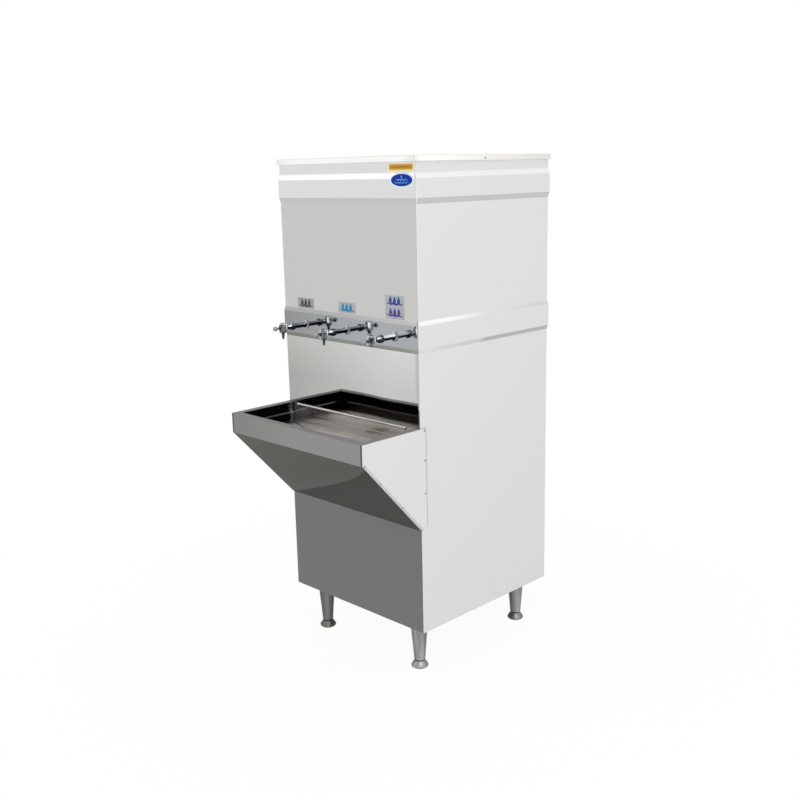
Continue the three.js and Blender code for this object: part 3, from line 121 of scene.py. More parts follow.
# %% A socket that Python can calculate with
class Wire:
    """A shader socket, with the operators that the finishes use."""

    def __init__(self, tree, socket=None):
        self.tree = tree
        self.socket = socket

    def make(self, kind, settings=None, inputs=None, output=0):
        """A new node: its settings first, then values or wires for its sockets."""
        node = self.tree.nodes.new(kind)
        for name, value in (settings or {}).items():
            setattr(node, name, value)
        for name, value in (inputs or {}).items():
            if isinstance(value, Wire):
                self.tree.links.new(value.socket, node.inputs[name])
            else:
                node.inputs[name].default_value = value
        return Wire(self.tree, node.outputs[output] if node.outputs else None)

    def math(self, operation, first, second=0.0):
        return self.make("ShaderNodeMath", {"operation": operation}, {0: first, 1: second})

    def __add__(self, other):
        return self.math("ADD", self, other)

    def __radd__(self, other):
        return self.math("ADD", other, self)

    def __sub__(self, other):
        return self.math("SUBTRACT", self, other)

    def __rsub__(self, other):
        return self.math("SUBTRACT", other, self)

    def __mul__(self, other):
        return self.math("MULTIPLY", self, other)

    def __rmul__(self, other):
        return self.math("MULTIPLY", other, self)

    def magnitude(self):
        return self.math("ABSOLUTE", self)

    def ramp(self, low, high):
        """0 below low, 1 above high, and an even climb between them."""
        return self.make("ShaderNodeMapRange", {"clamp": True},
                         {"Value": self, "From Min": low, "From Max": high})

    def past(self, landmark, start, end):
        """0 before start millimetres past a landmark, and 1 after end millimetres."""
        return self.ramp(landmark + start * MM, landmark + end * MM)

    def within(self, low, high, soft=0.3 * MM):
        """1 between low and high, and 0 outside."""
        return self.ramp(low - soft, low + soft) * (1 - self.ramp(high - soft, high + soft))

    def axes(self):
        """The X, Y and Z of a vector as three wires."""
        split = self.make("ShaderNodeSeparateXYZ", inputs={0: self})
        return [Wire(self.tree, socket) for socket in split.socket.node.outputs]


print("operators ready:", [name for name in vars(Wire) if name.startswith("__")][2:])

# %% [markdown]
# ## Tones
# Colours were judged in the photograph as display values from 0 to 255. A shader
# wants them linear, so one function turns them over, one mixes two of them by a
# mask, and one lays a whole list of masked tones over a first colour.

# %% Tones
def tone(value):
    """A display grey, or red, green and blue, as a linear colour. A wire stays a wire."""
    if isinstance(value, Wire):
        return value
    channels = value if isinstance(value, tuple) else (value, value, value)
    return tuple(((channel / 255 + 0.055) / 1.055) ** 2.4 for channel in channels) + (1.0,)


def mix(mask, low, high):
    """The colour low where mask is 0, and high where it is 1."""
    return mask.make("ShaderNodeMix", {"data_type": "RGBA"},
                     {"Factor": mask, "A": tone(low), "B": tone(high)}, output=2)


def layered(colour, *coats):
    """The colour under coats that are laid on in turn, each a mask and a colour."""
    for mask, coat in coats:
        colour = mix(mask, colour, coat)
    return colour


print("a mid grey of 128 is", round(tone(128)[0], 3), "in linear light")

# %% From a recipe to a finish
def finish(name, recipe):
    """A material from a recipe: a function that turns the place on the object into a shader."""
    material = bpy.data.materials.new(name)
    material.use_nodes = True
    material.node_tree.nodes.clear()
    place = Wire(material.node_tree).make("ShaderNodeTexCoord", output="Object")
    place.make("ShaderNodeOutputMaterial", inputs={"Surface": recipe(place)})
    return material


def noise(place, scale, detail=3.0, stretch=None):
    """A noise from 0 to 1, drawn out along an axis by stretch."""
    if stretch:
        place = place.make("ShaderNodeMapping", inputs={"Vector": place, "Scale": stretch})
    return place.make("ShaderNodeTexNoise",
                      inputs={"Vector": place, "Scale": scale, "Detail": detail})


def surface(colour, roughness, metallic=0.0, relief=None, **fixed):
    """A surface shader. The relief is a height in metres, and fixed values go on sockets."""
    inputs = {"Base Color": colour, "Roughness": roughness, "Metallic": metallic}
    for name, value in fixed.items():
        inputs[name.replace("_", " ").title().replace("Ior", "IOR")] = value
    if relief is not None:
        inputs["Normal"] = colour.make("ShaderNodeBump", inputs={"Height": relief, "Distance": 1.0})
    return colour.make("ShaderNodeBsdfPrincipled", inputs=inputs)


def glow(place, colour, strength=1.0):
    """A shader that shines by itself."""
    return place.make("ShaderNodeEmission", inputs={"Color": tone(colour), "Strength": strength})


def blend(mask, low, high):
    """The shader low where mask is 0, and high where it is 1."""
    return mask.make("ShaderNodeMixShader", inputs={0: mask, 1: low, 2: high})


print("each finish starts from the object's own coordinates, so it moves with its piece")

# %% [markdown]
# ## Painted side panels
# The two side panels are light grey sheet with a smooth semi-gloss paint. The upper
# fold of each raised band catches the light, and the lower fold lies in shade. On
# the tap band that highlight fades towards the rear. Light alone gives part of it on
# folds this shallow, and masks by height add the rest, which keeps it in any view.

# %% Painted side panels
PAINT_LOW = 0.2
PAINT_HIGH = 1.3
PEEL_HEIGHT = 0.03 * MM


def painted_sides(place):
    y, z = place.axes()[1:]
    depth = y.ramp(FRONT, REAR)
    lifted = z - (depth * 4 + 1) * MM
    tap_lit = z.within(TAP_BAND_HIGH, TAP_BAND_HIGH + TAP_BEVEL)
    tap_shade = z.within(TAP_BAND_LOW - TAP_BEVEL, TAP_BAND_LOW)
    shade_depth = depth.ramp(0.02, 0.4) * 0.4 + depth.ramp(0.44, 0.48) * 0.6
    colour = layered(
        mix(z.ramp(PAINT_LOW, PAINT_HIGH), 223, 224),
        (lifted.within(UPPER_BAND_HIGH, UPPER_BAND_HIGH + UPPER_BEVEL, 0.8 * MM), 238),
        (z.within(UPPER_BAND_LOW - UPPER_BEVEL - 1.5 * MM, UPPER_BAND_LOW), 197),
        # Painted light just below the lid takes away its shadow, a painted highlight runs down the
        # front fold and painted shade down the rear fold, and the tap band's upper fold turns to
        # painted shade at the rear.
        (tap_lit * (1 - depth.ramp(0.22, 0.5)), 246),
        (tap_lit * depth.ramp(0.5, 0.9), 211),
        (tap_shade * shade_depth, 181),
        (z.past(LID_LOW.z, -5, -4), 252),
        (1 - y.past(FRONT, 1.5, 4), 226),
        (y.past(REAR, -4, -2), 208))
    peel = noise(place, 900, 2)
    patches = noise(place, 6, 3)
    return surface(colour, 0.3 + patches * 0.08, relief=peel * PEEL_HEIGHT,
                   specular_ior_level=0.3)


PAINTED_SIDES = finish("painted_side_panels", painted_sides)
print("painted:", PAINTED_SIDES.name)

# %% [markdown]
# ## Rolled stainless on the front
# The front is bright rolled sheet. It mirrors the room softly, so it looks flat
# grey from far away, but each zone mirrors another part of the room: the band at
# the taps is darker, more so to the left, and the top band is light. A metal's base
# colour tints what it mirrors, so the zones are painted reflection, masks by height
# and width. A painted highlight lies on the upper bevel, and painted shade lies just
# below the lid.

# %% Rolled stainless on the front
def rolled_front(place):
    x, _, z = place.axes()
    along = x.ramp(-HALF_WIDTH, HALF_WIDTH)
    tap_band = z.within(TAP_BAND_LOW, TAP_BAND_HIGH)
    tap_zone = mix(along.ramp(0.0, 0.6), (143, 145, 145), (168, 171, 174))
    tap_shade = mix(along.ramp(0.1, 1.0), (123, 126, 123), (168, 168, 166))
    tap_lit = mix(along.ramp(0.0, 0.35), (161, 163, 162), (163, 164, 163))
    shaded = z.within(SPLASH_TOP - TAP_BEVEL, TAP_BAND_LOW)
    bevel_top = UPPER_BAND_HIGH + UPPER_BEVEL
    glint = z.within(UPPER_BAND_HIGH + 4 * MM, bevel_top - MM, 3 * MM)
    below_lid = z.past(bevel_top, 1.5, 4)
    colour = layered(
        mix(along, (198, 199, 197), (200, 200, 198)),
        (tap_band, tap_zone),
        (z.within(TAP_BAND_HIGH, TAP_BAND_HIGH + TAP_BEVEL), tap_lit),
        (shaded, tap_shade),
        (z.within(UPPER_BAND_LOW - UPPER_BEVEL, UPPER_BAND_LOW), 196),
        (z.within(UPPER_BAND_LOW, UPPER_BAND_HIGH), 220),
        (z.within(UPPER_BAND_HIGH, bevel_top), mix(glint, 182, 207)),
        (z.ramp(bevel_top, bevel_top + MM), mix(below_lid, 240, (220, 219, 217))))
    grain = noise(place, 60, 4, (0.4, 1, 40))
    waves = noise(place, 5, 2)
    roughness = 0.14 + grain * 0.08 - tap_band * 0.13
    relief = waves * (0.25 * MM) + grain * (0.008 * MM)
    return surface(colour, roughness, 1 - shaded * 0.8, relief=relief)


ROLLED_FRONT = finish("rolled_stainless_front", rolled_front)
print("front:", ROLLED_FRONT.name)

# %% [markdown]
# ## The splash panel and the lower front
# The splash panel behind the taps is the brightest mirror and a little wavy, so each
# tap shows in it a second time. The lower front lies in the shade of the tray. It is
# brushed, and a noise drawn out along the width makes that satin.

# %% Mirror of the splash panel
def mirror_splash(place):
    x, _, z = place.axes()
    along = x.ramp(-HALF_WIDTH, HALF_WIDTH)
    near_band = mix(along.ramp(0.0, 0.85), (184, 186, 181), (212, 212, 210))
    # Painted reflection: the tint grows lighter to the right and towards the top, and turns a
    # little darker at the right edge.
    colour = layered(
        mix(along.ramp(0.0, 0.75), (165, 168, 163), (197, 197, 195)),
        (z.ramp(SPLASH_TOP - 110 * MM, SPLASH_TOP), near_band),
        (x.past(HALF_WIDTH, -14, -6), (186, 186, 184)))
    grain = noise(place, 80, 4, (0.4, 1, 40))
    waves = noise(place, 7, 1, (1, 1, 0.5))
    return surface(colour, 0.02 + grain * 0.03, 1.0, relief=waves * (0.7 * MM))


MIRROR_SPLASH = finish("mirror_stainless_splash", mirror_splash)
print("splash panel:", MIRROR_SPLASH.name)

# %% Satin of the lower front
def satin_lower(place):
    grain = noise(place, 70, 5, (0.3, 1, 40))
    colour = mix(grain, 114, 120)
    return surface(colour, 0.3 + grain * 0.12, 0.9, relief=grain * (0.02 * MM))


SATIN_LOWER = finish("satin_stainless_lower_front", satin_lower)
print("lower front:", SATIN_LOWER.name)

# %% [markdown]
# ## The tray's apron
# One folded sheet carries the basin. Its front is satin, its slope is a dark mirror
# that shows the lower panel on the right, with its darkness a painted reflection, and
# its two side plates look painted like the cabinet. The packed node is one sheet, so
# the finish is chosen by place: the side plates are the parts beyond the cabinet's
# width.

# %% The tray's apron
SLOPE_BOW = 3.1 * MM
SLOPE_SAG = 3.6 * MM


def tray_sheet(place):
    x, y, z = place.axes()
    plate = x.magnitude().past(TRAY_HIGH.x, -0.5, -0.3)
    plate_edge = y.past(TRAY_HIGH.y, -3.4, -2.4)
    seam = x.magnitude().within(TRAY_HIGH.x - 7 * MM, TRAY_HIGH.x - 1.6 * MM)
    slope = 1 - z.past(SLOPE_TOP, -0.6, -0.2)
    rim = z.past(TRAY_HIGH.z, -0.5, -0.2)
    along = x.ramp(-TRAY_HIGH.x, TRAY_HIGH.x)
    grain = noise(place, 80, 4, (0.3, 1, 30))
    fine = grain * (0.02 * MM)
    colour = layered(
        mix(along.ramp(0.0, 0.5), (132, 130, 129), (143, 143, 142)),
        (seam * (1 - rim), 82),
        (plate, mix(plate_edge, 223, 182)))
    satin = surface(colour, 0.28 + grain * 0.1, (1 - plate) * 0.9, relief=fine)
    rim_tone = mix(grain, (126, 125, 126), (132, 130, 131))
    dull = surface(rim_tone, 0.5, relief=fine, specular_ior_level=0.05)
    up = z.ramp(SLOPE_LOW, SLOPE_TOP)
    bow = place.math("POWER", up, 4.0) * SLOPE_BOW - up * SLOPE_SAG
    # The slope's dark grey, with an olive tint towards its upper left, is a painted reflection of
    # the lower front and the floor below.
    dark = mix(grain, (74, 74, 72), (80, 80, 78))
    dark = mix((up - along * 0.9).ramp(-0.25, 0.2), dark, (68, 69, 59))
    mirror = surface(dark, 0.02 + grain * 0.02, relief=bow, ior=1.07)
    return blend(slope * (1 - plate), blend(rim, satin, dull), mirror)


TRAY_SHEET = finish("tray_apron_sheet", tray_sheet)
print("tray front folds into its slope at", round(SLOPE_TOP, 3))

# %% [markdown]
# ## The basin
# The basin is polished inside, so its upright walls mirror each other and look
# almost black: a painted reflection in their colour, with a lighter ledge. The
# scuffed floor is grey below the taps, with long brushed streaks, and painted light
# makes it pale at the front, where the front wall shades it. Painted shade darkens
# its creases near the corners and a patch by the left wall. The walls and floor are
# told apart by height.

# %% Steel of the basin
BASIN_LOW, BASIN_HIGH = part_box("basin")
BASIN_FLOOR = TRAY_HIGH.z - 57 * MM
BASIN_CENTRE = (BASIN_LOW.y + BASIN_HIGH.y) / 2
LEDGE = TRAY_HIGH.z - 30 * MM


def basin_steel(place):
    x, y, z = place.axes()
    streaks = noise(place, 12, 5, (0.6, 9, 1))
    blotches = noise(place, 9, 3)
    scratches = noise(place, 40, 4, (1, 12, 1))
    worn = (streaks * 0.7 + blotches * 0.3).ramp(0.34, 0.66)
    # Painted light: the floor is pale near the front, where the front wall shades it, and grey
    # towards the wall.
    pale = mix(worn, (206, 201, 195), (244, 238, 231))
    grey = mix(worn, (112, 108, 104), (166, 159, 153))
    painted_light_near_front = 1 - y.ramp(BASIN_LOW.y + 35 * MM, BASIN_CENTRE - 5 * MM)
    # Painted shade darkens a patch by the left wall and the creases near the corners.
    shade = 1 - x.past(BASIN_LOW.x, 14, 50)
    across = x.magnitude() * (1 / BASIN_HIGH.x)
    along = (y - BASIN_CENTRE).magnitude() * (2 / (BASIN_HIGH.y - BASIN_LOW.y))
    crease_shade = (across - along).magnitude().within(-1.0, 0.02, 0.01)
    floor = layered(
        mix(painted_light_near_front, grey, pale),
        (shade * blotches.ramp(0.3, 0.5), (20, 20, 22)),
        (crease_shade * across.within(0.6, 0.9, 0.05), (24, 23, 24)))
    wall = z.past(BASIN_FLOOR, -0.2, 2)
    ledge = z.within(LEDGE - 2.6 * MM, LEDGE + 0.6 * MM, 0.5 * MM)
    left_end = 1 - x.past(BASIN_LOW.x, 10, 16)
    corner = left_end * y.past(BASIN_HIGH.y, -16, -9)
    front_wall = 1 - y.past(BASIN_LOW.y, 6, 8)
    below_ledge = 1 - z.ramp(LEDGE - 6 * MM, LEDGE)
    # The walls' near black, darkest below the ledge of the front wall, and their lighter ledge are
    # painted reflection.
    dark = mix(front_wall * below_ledge, (12, 12, 14),
               mix(streaks, (30, 27, 26), (74, 69, 66)))
    colour = layered(
        floor, (wall, dark),
        (wall * ledge, mix(front_wall, (100, 100, 101), (66, 63, 62))),
        (wall * corner, (108, 109, 111)))
    scuffed = surface(colour, 0.34 - wall * 0.2 + scratches * 0.1, wall * 0.9,
                      relief=scratches * (1 - wall) * (0.1 * MM), specular_ior_level=0.25)
    back = y.past(BASIN_HIGH.y, -2.4, -1.9)
    back = back * z.ramp(BASIN_FLOOR, BASIN_FLOOR + 0.4 * MM)
    reflective = mix(streaks, (218, 216, 212), (232, 230, 227))
    metal = 0.98 - streaks.ramp(0.4, 0.65) * 0.12
    mirror = surface(reflective, 0.06 + streaks * 0.1, metal,
                     relief=noise(place, 9, 1) * (0.5 * MM))
    return blend(back * (1 - corner), scuffed, mirror)


BASIN_STEEL = finish("basin_steel", basin_steel)
print("basin floor at", round(BASIN_FLOOR, 3))

# %% A plain grained finish
def grained(name, dark, light, roughness=0.5, metallic=0.0, scale=120, stretch=None,
            relief=0.03 * MM, **fixed):
    """A plain material with a noise in its colour, roughness and surface."""
    def recipe(place):
        grain = noise(place, scale, 4, stretch)
        return surface(mix(grain, dark, light), roughness + grain * 0.1, metallic,
                       relief=grain * relief, **fixed)

    return finish(name, recipe)


print("one helper serves every finish that has a single grain")

# %% [markdown]
# ## Chrome and turned metal
# The taps are polished chrome. Chrome has no colour of its own, so all its look is
# what it mirrors: the white room above and the dark basin and floor below. The
# direction of the surface stands for those surroundings as painted reflection. It
# darkens the lower halves, and a glowing painted highlight lies on the valve heads
# and on the right tap's sleeve. The push balls are satin, and so are the legs, with
# fine turning rings. The legs have painted shade where they face away from the room
# or stand in the cabinet's shadow.

# %% Directions of a surface
def facings(place):
    """How far the surface faces +X, +Y and +Z, from -1 to 1."""
    return place.make("ShaderNodeTexCoord", output="Normal").axes()


print("a finish can now follow the direction of its surface")

# %% Chrome of the tap bodies
SLEEVE_START = 8 * MM
SLEEVE_END = 43 * MM
NUT_START = 47 * MM
THROAT_START = 57 * MM
THROAT_END = 68 * MM
SLEEVE_SHINE = 0.85
RIGHT_TAP_SIDE = (80 * MM, 100 * MM)


def chrome(place):
    x, y, _ = place.axes()
    upward = facings(place)[2]
    specks = noise(place, 220, 3)
    reach = FRONT - BAND_RELIEF - y
    outer = reach.ramp(SLEEVE_END, NUT_START)
    bright = x.ramp(*RIGHT_TAP_SIDE)
    # Painted reflection: dark lower halves, a light upper side that is brighter on the right tap,
    # and a painted highlight on top of the throat.
    dark = mix(outer * specks.ramp(0.4, 0.6), (6, 9, 13), (70, 77, 82))
    dark = mix(upward.ramp(-0.8, -0.5), (112, 116, 120), dark)
    above = layered(
        mix(bright, (160, 166, 171), (244, 246, 247)),
        (outer, mix(specks.ramp(0.42, 0.6), (62, 68, 74), (176, 182, 186))))
    throat = reach.within(THROAT_START, THROAT_END)
    colour = layered(
        dark,
        ((upward + specks * 0.2 + bright * 0.2).ramp(0.3, 0.6), above),
        (throat * (upward + specks * 0.2).within(0.35, 0.8, 0.05), (226, 231, 235)))
    shader = surface(colour, 0.03 + specks * 0.04, 1.0, relief=specks * (0.02 * MM))
    # A glowing painted highlight lies on the upper side of the right tap's sleeve.
    sleeve = reach.within(SLEEVE_START, SLEEVE_END)
    painted_sheen = bright * sleeve * upward.within(0.34, 0.9, 0.05)
    return blend(painted_sheen * SLEEVE_SHINE, shader, glow(place, (236, 239, 240)))


CHROME = finish("polished_chrome", chrome)
FLANGE_CHROME = grained("flange_chrome", (118, 122, 128), (172, 176, 182), 0.08, 1.0, 180)
print("tap bodies:", CHROME.name, FLANGE_CHROME.name)

# %% Chrome of the valve heads
DIAGONAL = 0.71
HEAD_GLINT = 2.2


def chrome_head(place):
    """Chrome of the upright valve heads: painted reflections of the room and the wall on its sides,
    light on top and dark below, with a glowing painted glint.
    """
    z = place.axes()[2]
    right, rear, upward = facings(place)
    specks = noise(place, 90, 2)
    outward = (right - rear) * DIAGONAL + specks * 0.5
    spout = 1 - z.past(TAP_AXIS, -15, -13)
    flecks = noise(place, 75, 2).ramp(0.54, 0.62)
    colour = layered(
        mix(outward.ramp(0.75, 1.15), (214, 218, 222), (110, 116, 124)),
        (spout, mix(right.ramp(-0.1, 0.5), (176, 182, 186), (66, 70, 72))),
        (upward.ramp(0.4, 0.7), (172, 177, 183)),
        (flecks * (1 - spout * 0.6), (34, 37, 44)),
        (upward.ramp(-0.4, -0.7), (18, 22, 30)))
    shader = surface(colour, 0.03 + specks * 0.04, 1.0, relief=specks * (0.02 * MM))
    glint = rear.within(0.5, 0.86, 0.04) * right.ramp(0.3, 0.5)
    glint = glint * z.past(TAP_AXIS, -5, -2)
    return blend(glint, shader, glow(place, 255, HEAD_GLINT))


HEAD_CHROME = finish("chrome_valve_head", chrome_head)
print("valve heads:", HEAD_CHROME.name)

# %% Satin of the push balls
def satin_ball(place):
    """Satin metal of the push balls, with painted shade on the side that faces the wall."""
    _, rear, upward = facings(place)
    grain = noise(place, 160)
    colour = mix(grain, (146, 149, 149), (166, 169, 168))
    colour = mix((rear - upward * 0.3).ramp(0.1, 0.6), colour, (74, 77, 80))
    return surface(colour, 0.5 + grain * 0.1, 0.1, relief=grain * (0.02 * MM))


BALL_SATIN = finish("satin_ball", satin_ball)
print("push balls:", BALL_SATIN.name)

# %% Turned metal of the legs
AMID_LEGS = 0.1
FOOT_TOP = 23 * MM
LEG_TOP = 140 * MM


def turned_leg(place):
    x, y, z = place.axes()
    right, rear, _ = facings(place)
    rings = noise(place, 1, 4, (2, 2, 900))
    streaks = noise(place, 60, 3, (1, 1, 0.12))
    left = 1 - x.ramp(-AMID_LEGS, AMID_LEGS)
    behind = y.ramp(0.0, AMID_LEGS)
    foot = 1 - z.ramp(FOOT_TOP - MM, FOOT_TOP + MM)
    across = (right + rear) * DIAGONAL
    middle = (1 - across.magnitude()).ramp(0.5, 1.0)
    shaded = behind * (1 - left) * (0 - across).ramp(-0.3, 0.85)
    # Painted shade and reflection: the left legs darker, with a lighter middle and a darker right
    # side; the rear right leg shaded on one side; the edges of every leg darker; every foot but the
    # nearest darker.
    nearest = (1 - left) * (1 - behind)
    colour = layered(
        mix(z.ramp(20 * MM, LEG_TOP), (174, 174, 172), (154, 155, 152)),
        (streaks.ramp(0.42, 0.7) * 0.6, (104, 105, 103)),
        (left * 0.85, (96, 97, 93)),
        (left * middle * 0.6, (140, 141, 137)),
        (left * across.ramp(0.15, 0.8) * 0.6, (58, 59, 55)),
        (shaded * 0.75, (58, 58, 54)),
        (across.magnitude().ramp(0.5, 0.97) * 0.7, (56, 57, 54)),
        (foot * (1 - nearest) * 0.35, (96, 96, 94)))
    roughness = 0.22 + rings * 0.14 + foot * 0.16
    return surface(colour, roughness, 0.95, relief=rings * (0.04 * MM))


TURNED_LEG = finish("turned_satin_metal", turned_leg)
print("legs:", TURNED_LEG.name)

# %% [markdown]
# ## The lid
# The lid is near white, a little warm on its front edge, and its right skirt goes
# from white at the front to a painted grey shade at the rear. Its top is out of sight
# from this camera, but gets the same paint with a faint cloudiness. A thin painted
# shade follows the upper fold, and the skirt's lower edge glows light grey as painted
# light against the shade under the lid.

# %% Lid paint
def lid_paint(place):
    x, y, z = place.axes()
    depth = y.ramp(LID_LOW.y, LID_HIGH.y)
    front = mix(x.ramp(-LID_HIGH.x, -0.7 * LID_HIGH.x), (232, 233, 228), (249, 247, 246))
    front = mix(x.past(LID_HIGH.x, -45, -22), front, (236, 234, 228))
    seam = x.magnitude().within(LID_HIGH.x - 6 * MM, LID_HIGH.x - MM, 0.4 * MM)
    seam = seam * (1 - depth.ramp(0.0, 0.004)) * noise(place, 160, 2).ramp(0.4, 0.5)
    upper_fold = z.past(LID_HIGH.z, -2.4, -1.4)
    top = z.past(LID_HIGH.z, -0.4, -0.1)
    colour = layered(
        mix(depth.ramp(0.0, 0.04), front, (255, 255, 254)),
        (depth.ramp(0.1, 0.5), (240, 239, 236)),
        (depth.ramp(0.5, 0.95), (227, 225, 222)),
        (seam, (192, 191, 184)),
        (upper_fold * (1 - depth.ramp(0.4, 0.6)), (228, 228, 221)),
        (top, mix(noise(place, 5, 3), (232, 232, 230), (240, 240, 238))))
    fine = noise(place, 700, 2)
    paint = surface(colour, 0.32 + noise(place, 8, 3) * 0.1, relief=fine * (0.02 * MM))
    # Painted light: the skirt's lower edge, where it faces down, glows light grey instead of lying
    # in shade.
    under = 1 - z.past(LID_LOW.z, 0.5, 0.8)
    under = under * facings(place)[2].ramp(-0.5, -0.9)
    return blend(under, paint, glow(place, (206, 206, 204)))


LID_PAINT = finish("lid_paint", lid_paint)
print("lid:", LID_PAINT.name)

# %% [markdown]
# ## Finishes behind and inside
# The rear is galvanised sheet, whose zinc crystals show as flakes of slightly
# different grey: a Voronoi texture gives one random tone to each cell. Inside are
# copper, brass, enamel, foam, hose and moulded plastic, each with its own grain.

# %% Finishes behind and inside
def galvanised(place):
    flakes = place.make("ShaderNodeTexVoronoi", {"feature": "F1"},
                       {"Vector": place, "Scale": 150}, output="Color")
    grey = place.make("ShaderNodeRGBToBW", inputs={"Color": flakes})
    colour = mix(grey, (163, 166, 168), (182, 185, 187))
    return surface(colour, 0.32 + grey * 0.2, 0.75, relief=grey * (0.02 * MM))


GALVANISED = finish("galvanised_sheet", galvanised)
COPPER = grained("copper_tube", (150, 92, 62), (206, 138, 98), 0.22, 1.0, 60)
BRASS = grained("machined_brass", (168, 138, 70), (205, 176, 104), 0.2, 1.0, 150)
TANK_STEEL = grained("tank_stainless", 178, 196, 0.22, 1.0, 50, (1, 1, 20))
FOAM = grained("rigid_foam", (226, 216, 184), (242, 234, 206), 0.85, 0.0, 260, None,
               0.4 * MM)
HOSE = grained("milky_hose", (206, 214, 216), (226, 232, 234), 0.28, 0.0, 40, None,
               0.02 * MM, transmission_weight=0.15, ior=1.45)
BLACK_ENAMEL = grained("black_enamel", (24, 25, 27), (36, 37, 40), 0.3, scale=160)
BLACK_PLASTIC = grained("black_moulded_plastic", (28, 29, 31), (42, 43, 45), 0.5, scale=500)
WHITE_PLASTIC = grained("white_moulded_plastic", (228, 231, 233), (240, 242, 243), 0.35,
                        scale=300)
FINS = grained("aluminium_fins", (172, 176, 179), (202, 205, 207), 0.35, 0.85, 90,
               (1, 1, 30))
print("inner finishes:", len(bpy.data.materials), "materials so far")

# %% Give the packed nodes their finishes
NODE_FINISHES = {
    PAINTED_SIDES: ["side_panel_left", "side_panel_right"],
    ROLLED_FRONT: ["front_panel_upper"],
    MIRROR_SPLASH: ["front_panel_splash"],
    SATIN_LOWER: ["front_panel_lower"],
    TRAY_SHEET: ["tray_apron"],
    LID_PAINT: ["lid"],
    GALVANISED: ["rear_panel_upper", "rear_panel_lower", "base_pan", "tank_shelf"],
    COPPER: ["evaporator_coil", "discharge_line", "suction_line", "filter_drier"],
    BRASS: ["float_valve", "tap_left_locknut", "tap_middle_locknut", "tap_right_locknut"],
    TANK_STEEL: ["tank", "tank_cover"],
    FOAM: ["tank_insulation"],
    HOSE: ["drain_hose", "supply_hose_left", "supply_hose_middle", "supply_hose_right",
           "water_line_in", "water_line_up"],
    BLACK_ENAMEL: ["compressor", "fan_motor"],
    BLACK_PLASTIC: ["fan_shroud", "fan_rotor", "thermostat"],
    WHITE_PLASTIC: ["water_filter", "float_arm"],
    FINS: ["condenser"],
}
for material, names in NODE_FINISHES.items():
    for name in names:
        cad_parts[name].data.materials.clear()
        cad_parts[name].data.materials.append(material)
print("finished nodes:", sum(len(names) for names in NODE_FINISHES.values()))

# %% [markdown]
# ## Making pieces
# Turned pieces are a profile carried round an axis, and sheets and plates are loops
# of points joined level by level. Both end in one mesh from plain lists, with smooth
# shading that stops at sharp folds. Rounding every corner of a profile a little
# matters more than many facets: a real edge always shows a thin highlight.

# %% Profiles with eased corners
def eased(profile, radius, steps=3):
    """The profile with every inner corner rounded, as far as its neighbours allow."""
    points = [Vector(point) for point in profile]
    result = [points[0]]
    for before, corner, after in zip(points, points[1:], points[2:]):
        back = before - corner
        ahead = after - corner
        start_point = corner + back.normalized() * min(radius, back.length * 0.45)
        end_point = corner + ahead.normalized() * min(radius, ahead.length * 0.45)
        for step in range(steps + 1):
            share = step / steps
            low = start_point.lerp(corner, share)
            result.append(low.lerp(corner.lerp(end_point, share), share))
    return result + [points[-1]]


def millimetres(profile):
    return [(radius * MM, height * MM) for radius, height in profile]


def turning(profile, radius):
    """A profile in millimetres with its corners eased by a radius."""
    return eased(millimetres(profile), radius * MM)


print("a corner eased in three steps:", len(eased([(0, 0), (1, 0), (1, 1)], 0.2)), "points")

# %% Turned skins
def lathe(profile, place, sides=48):
    """Points and faces of a profile of (radius, height) turned about the Z axis of place."""
    points, faces, rings = [], [], []
    for radius, height in profile:
        count = sides if radius > 0.01 * MM else 1
        rings.append(range(len(points), len(points) + count))
        for side in range(count):
            angle = side * 2 * pi / sides
            turned_point = (radius * cos(angle), radius * sin(angle), height)
            points.append(place @ Vector(turned_point))
    for low, high in zip(rings, rings[1:]):
        for side in range(sides):
            after = (side + 1) % sides
            face = [low[side % len(low)], low[after % len(low)],
                    high[after % len(high)], high[side % len(high)]]
            face = list(dict.fromkeys(face))
            if len(face) > 2:
                faces.append(face)
    return points, faces


print("a turned disc:", len(lathe([(0, 0), (1, 0)], Matrix())[1]), "faces")

# %% Lofted skins
def loft(loops, place=Matrix(), closed=False):
    """Points and faces of a skin through loops. Closed joins the last loop to the first."""
    count = len(loops[0])
    points = [place @ Vector(point) for loop in loops for point in loop]
    faces = []
    for level in range(len(loops) if closed else len(loops) - 1):
        low = level * count
        high = (level + 1) % len(loops) * count
        for side in range(count):
            after = (side + 1) % count
            faces.append([low + side, low + after, high + after, high + side])
    if not closed:
        faces.append(list(reversed(range(count))))
        faces.append(list(range(len(points) - count, len(points))))
    return points, faces


def slab(outline, low, high, place=Matrix()):
    """Points and faces of a flat outline drawn up from low to high."""
    return loft([[(x, y, height) for x, y in outline] for height in (low, high)], place)


print("a slab of four corners:", len(slab([(0, 0), (1, 0), (1, 1), (0, 1)], 0, 1)[1]), "faces")

# %% One object from its skins
def piece(name, parts, material, body, hides=(), fold=32):
    """One object from several lists of points and faces, riding on a body."""
    points, faces = [], []
    for part_points, part_faces in parts:
        first = len(points)
        points.extend(part_points)
        faces.extend([first + place for place in face] for face in part_faces)
    mesh = bpy.data.meshes.new(name)
    mesh.from_pydata(points, [], faces)
    mesh.polygons.foreach_set("use_smooth", [True] * len(mesh.polygons))
    mesh.set_sharp_from_angle(angle=radians(fold))
    mesh.materials.append(material)
    made = new_object(name, mesh)
    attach(made, body)
    if hides:
        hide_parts(*hides)
    return made


def turned(name, profile, place, material, body, hides=(), sides=48):
    """One object from a profile turned about the Z axis of place."""
    return piece(name, [lathe(profile, place, sides)], material, body, hides)


print("each piece rides on a body and names the slot of its finish")

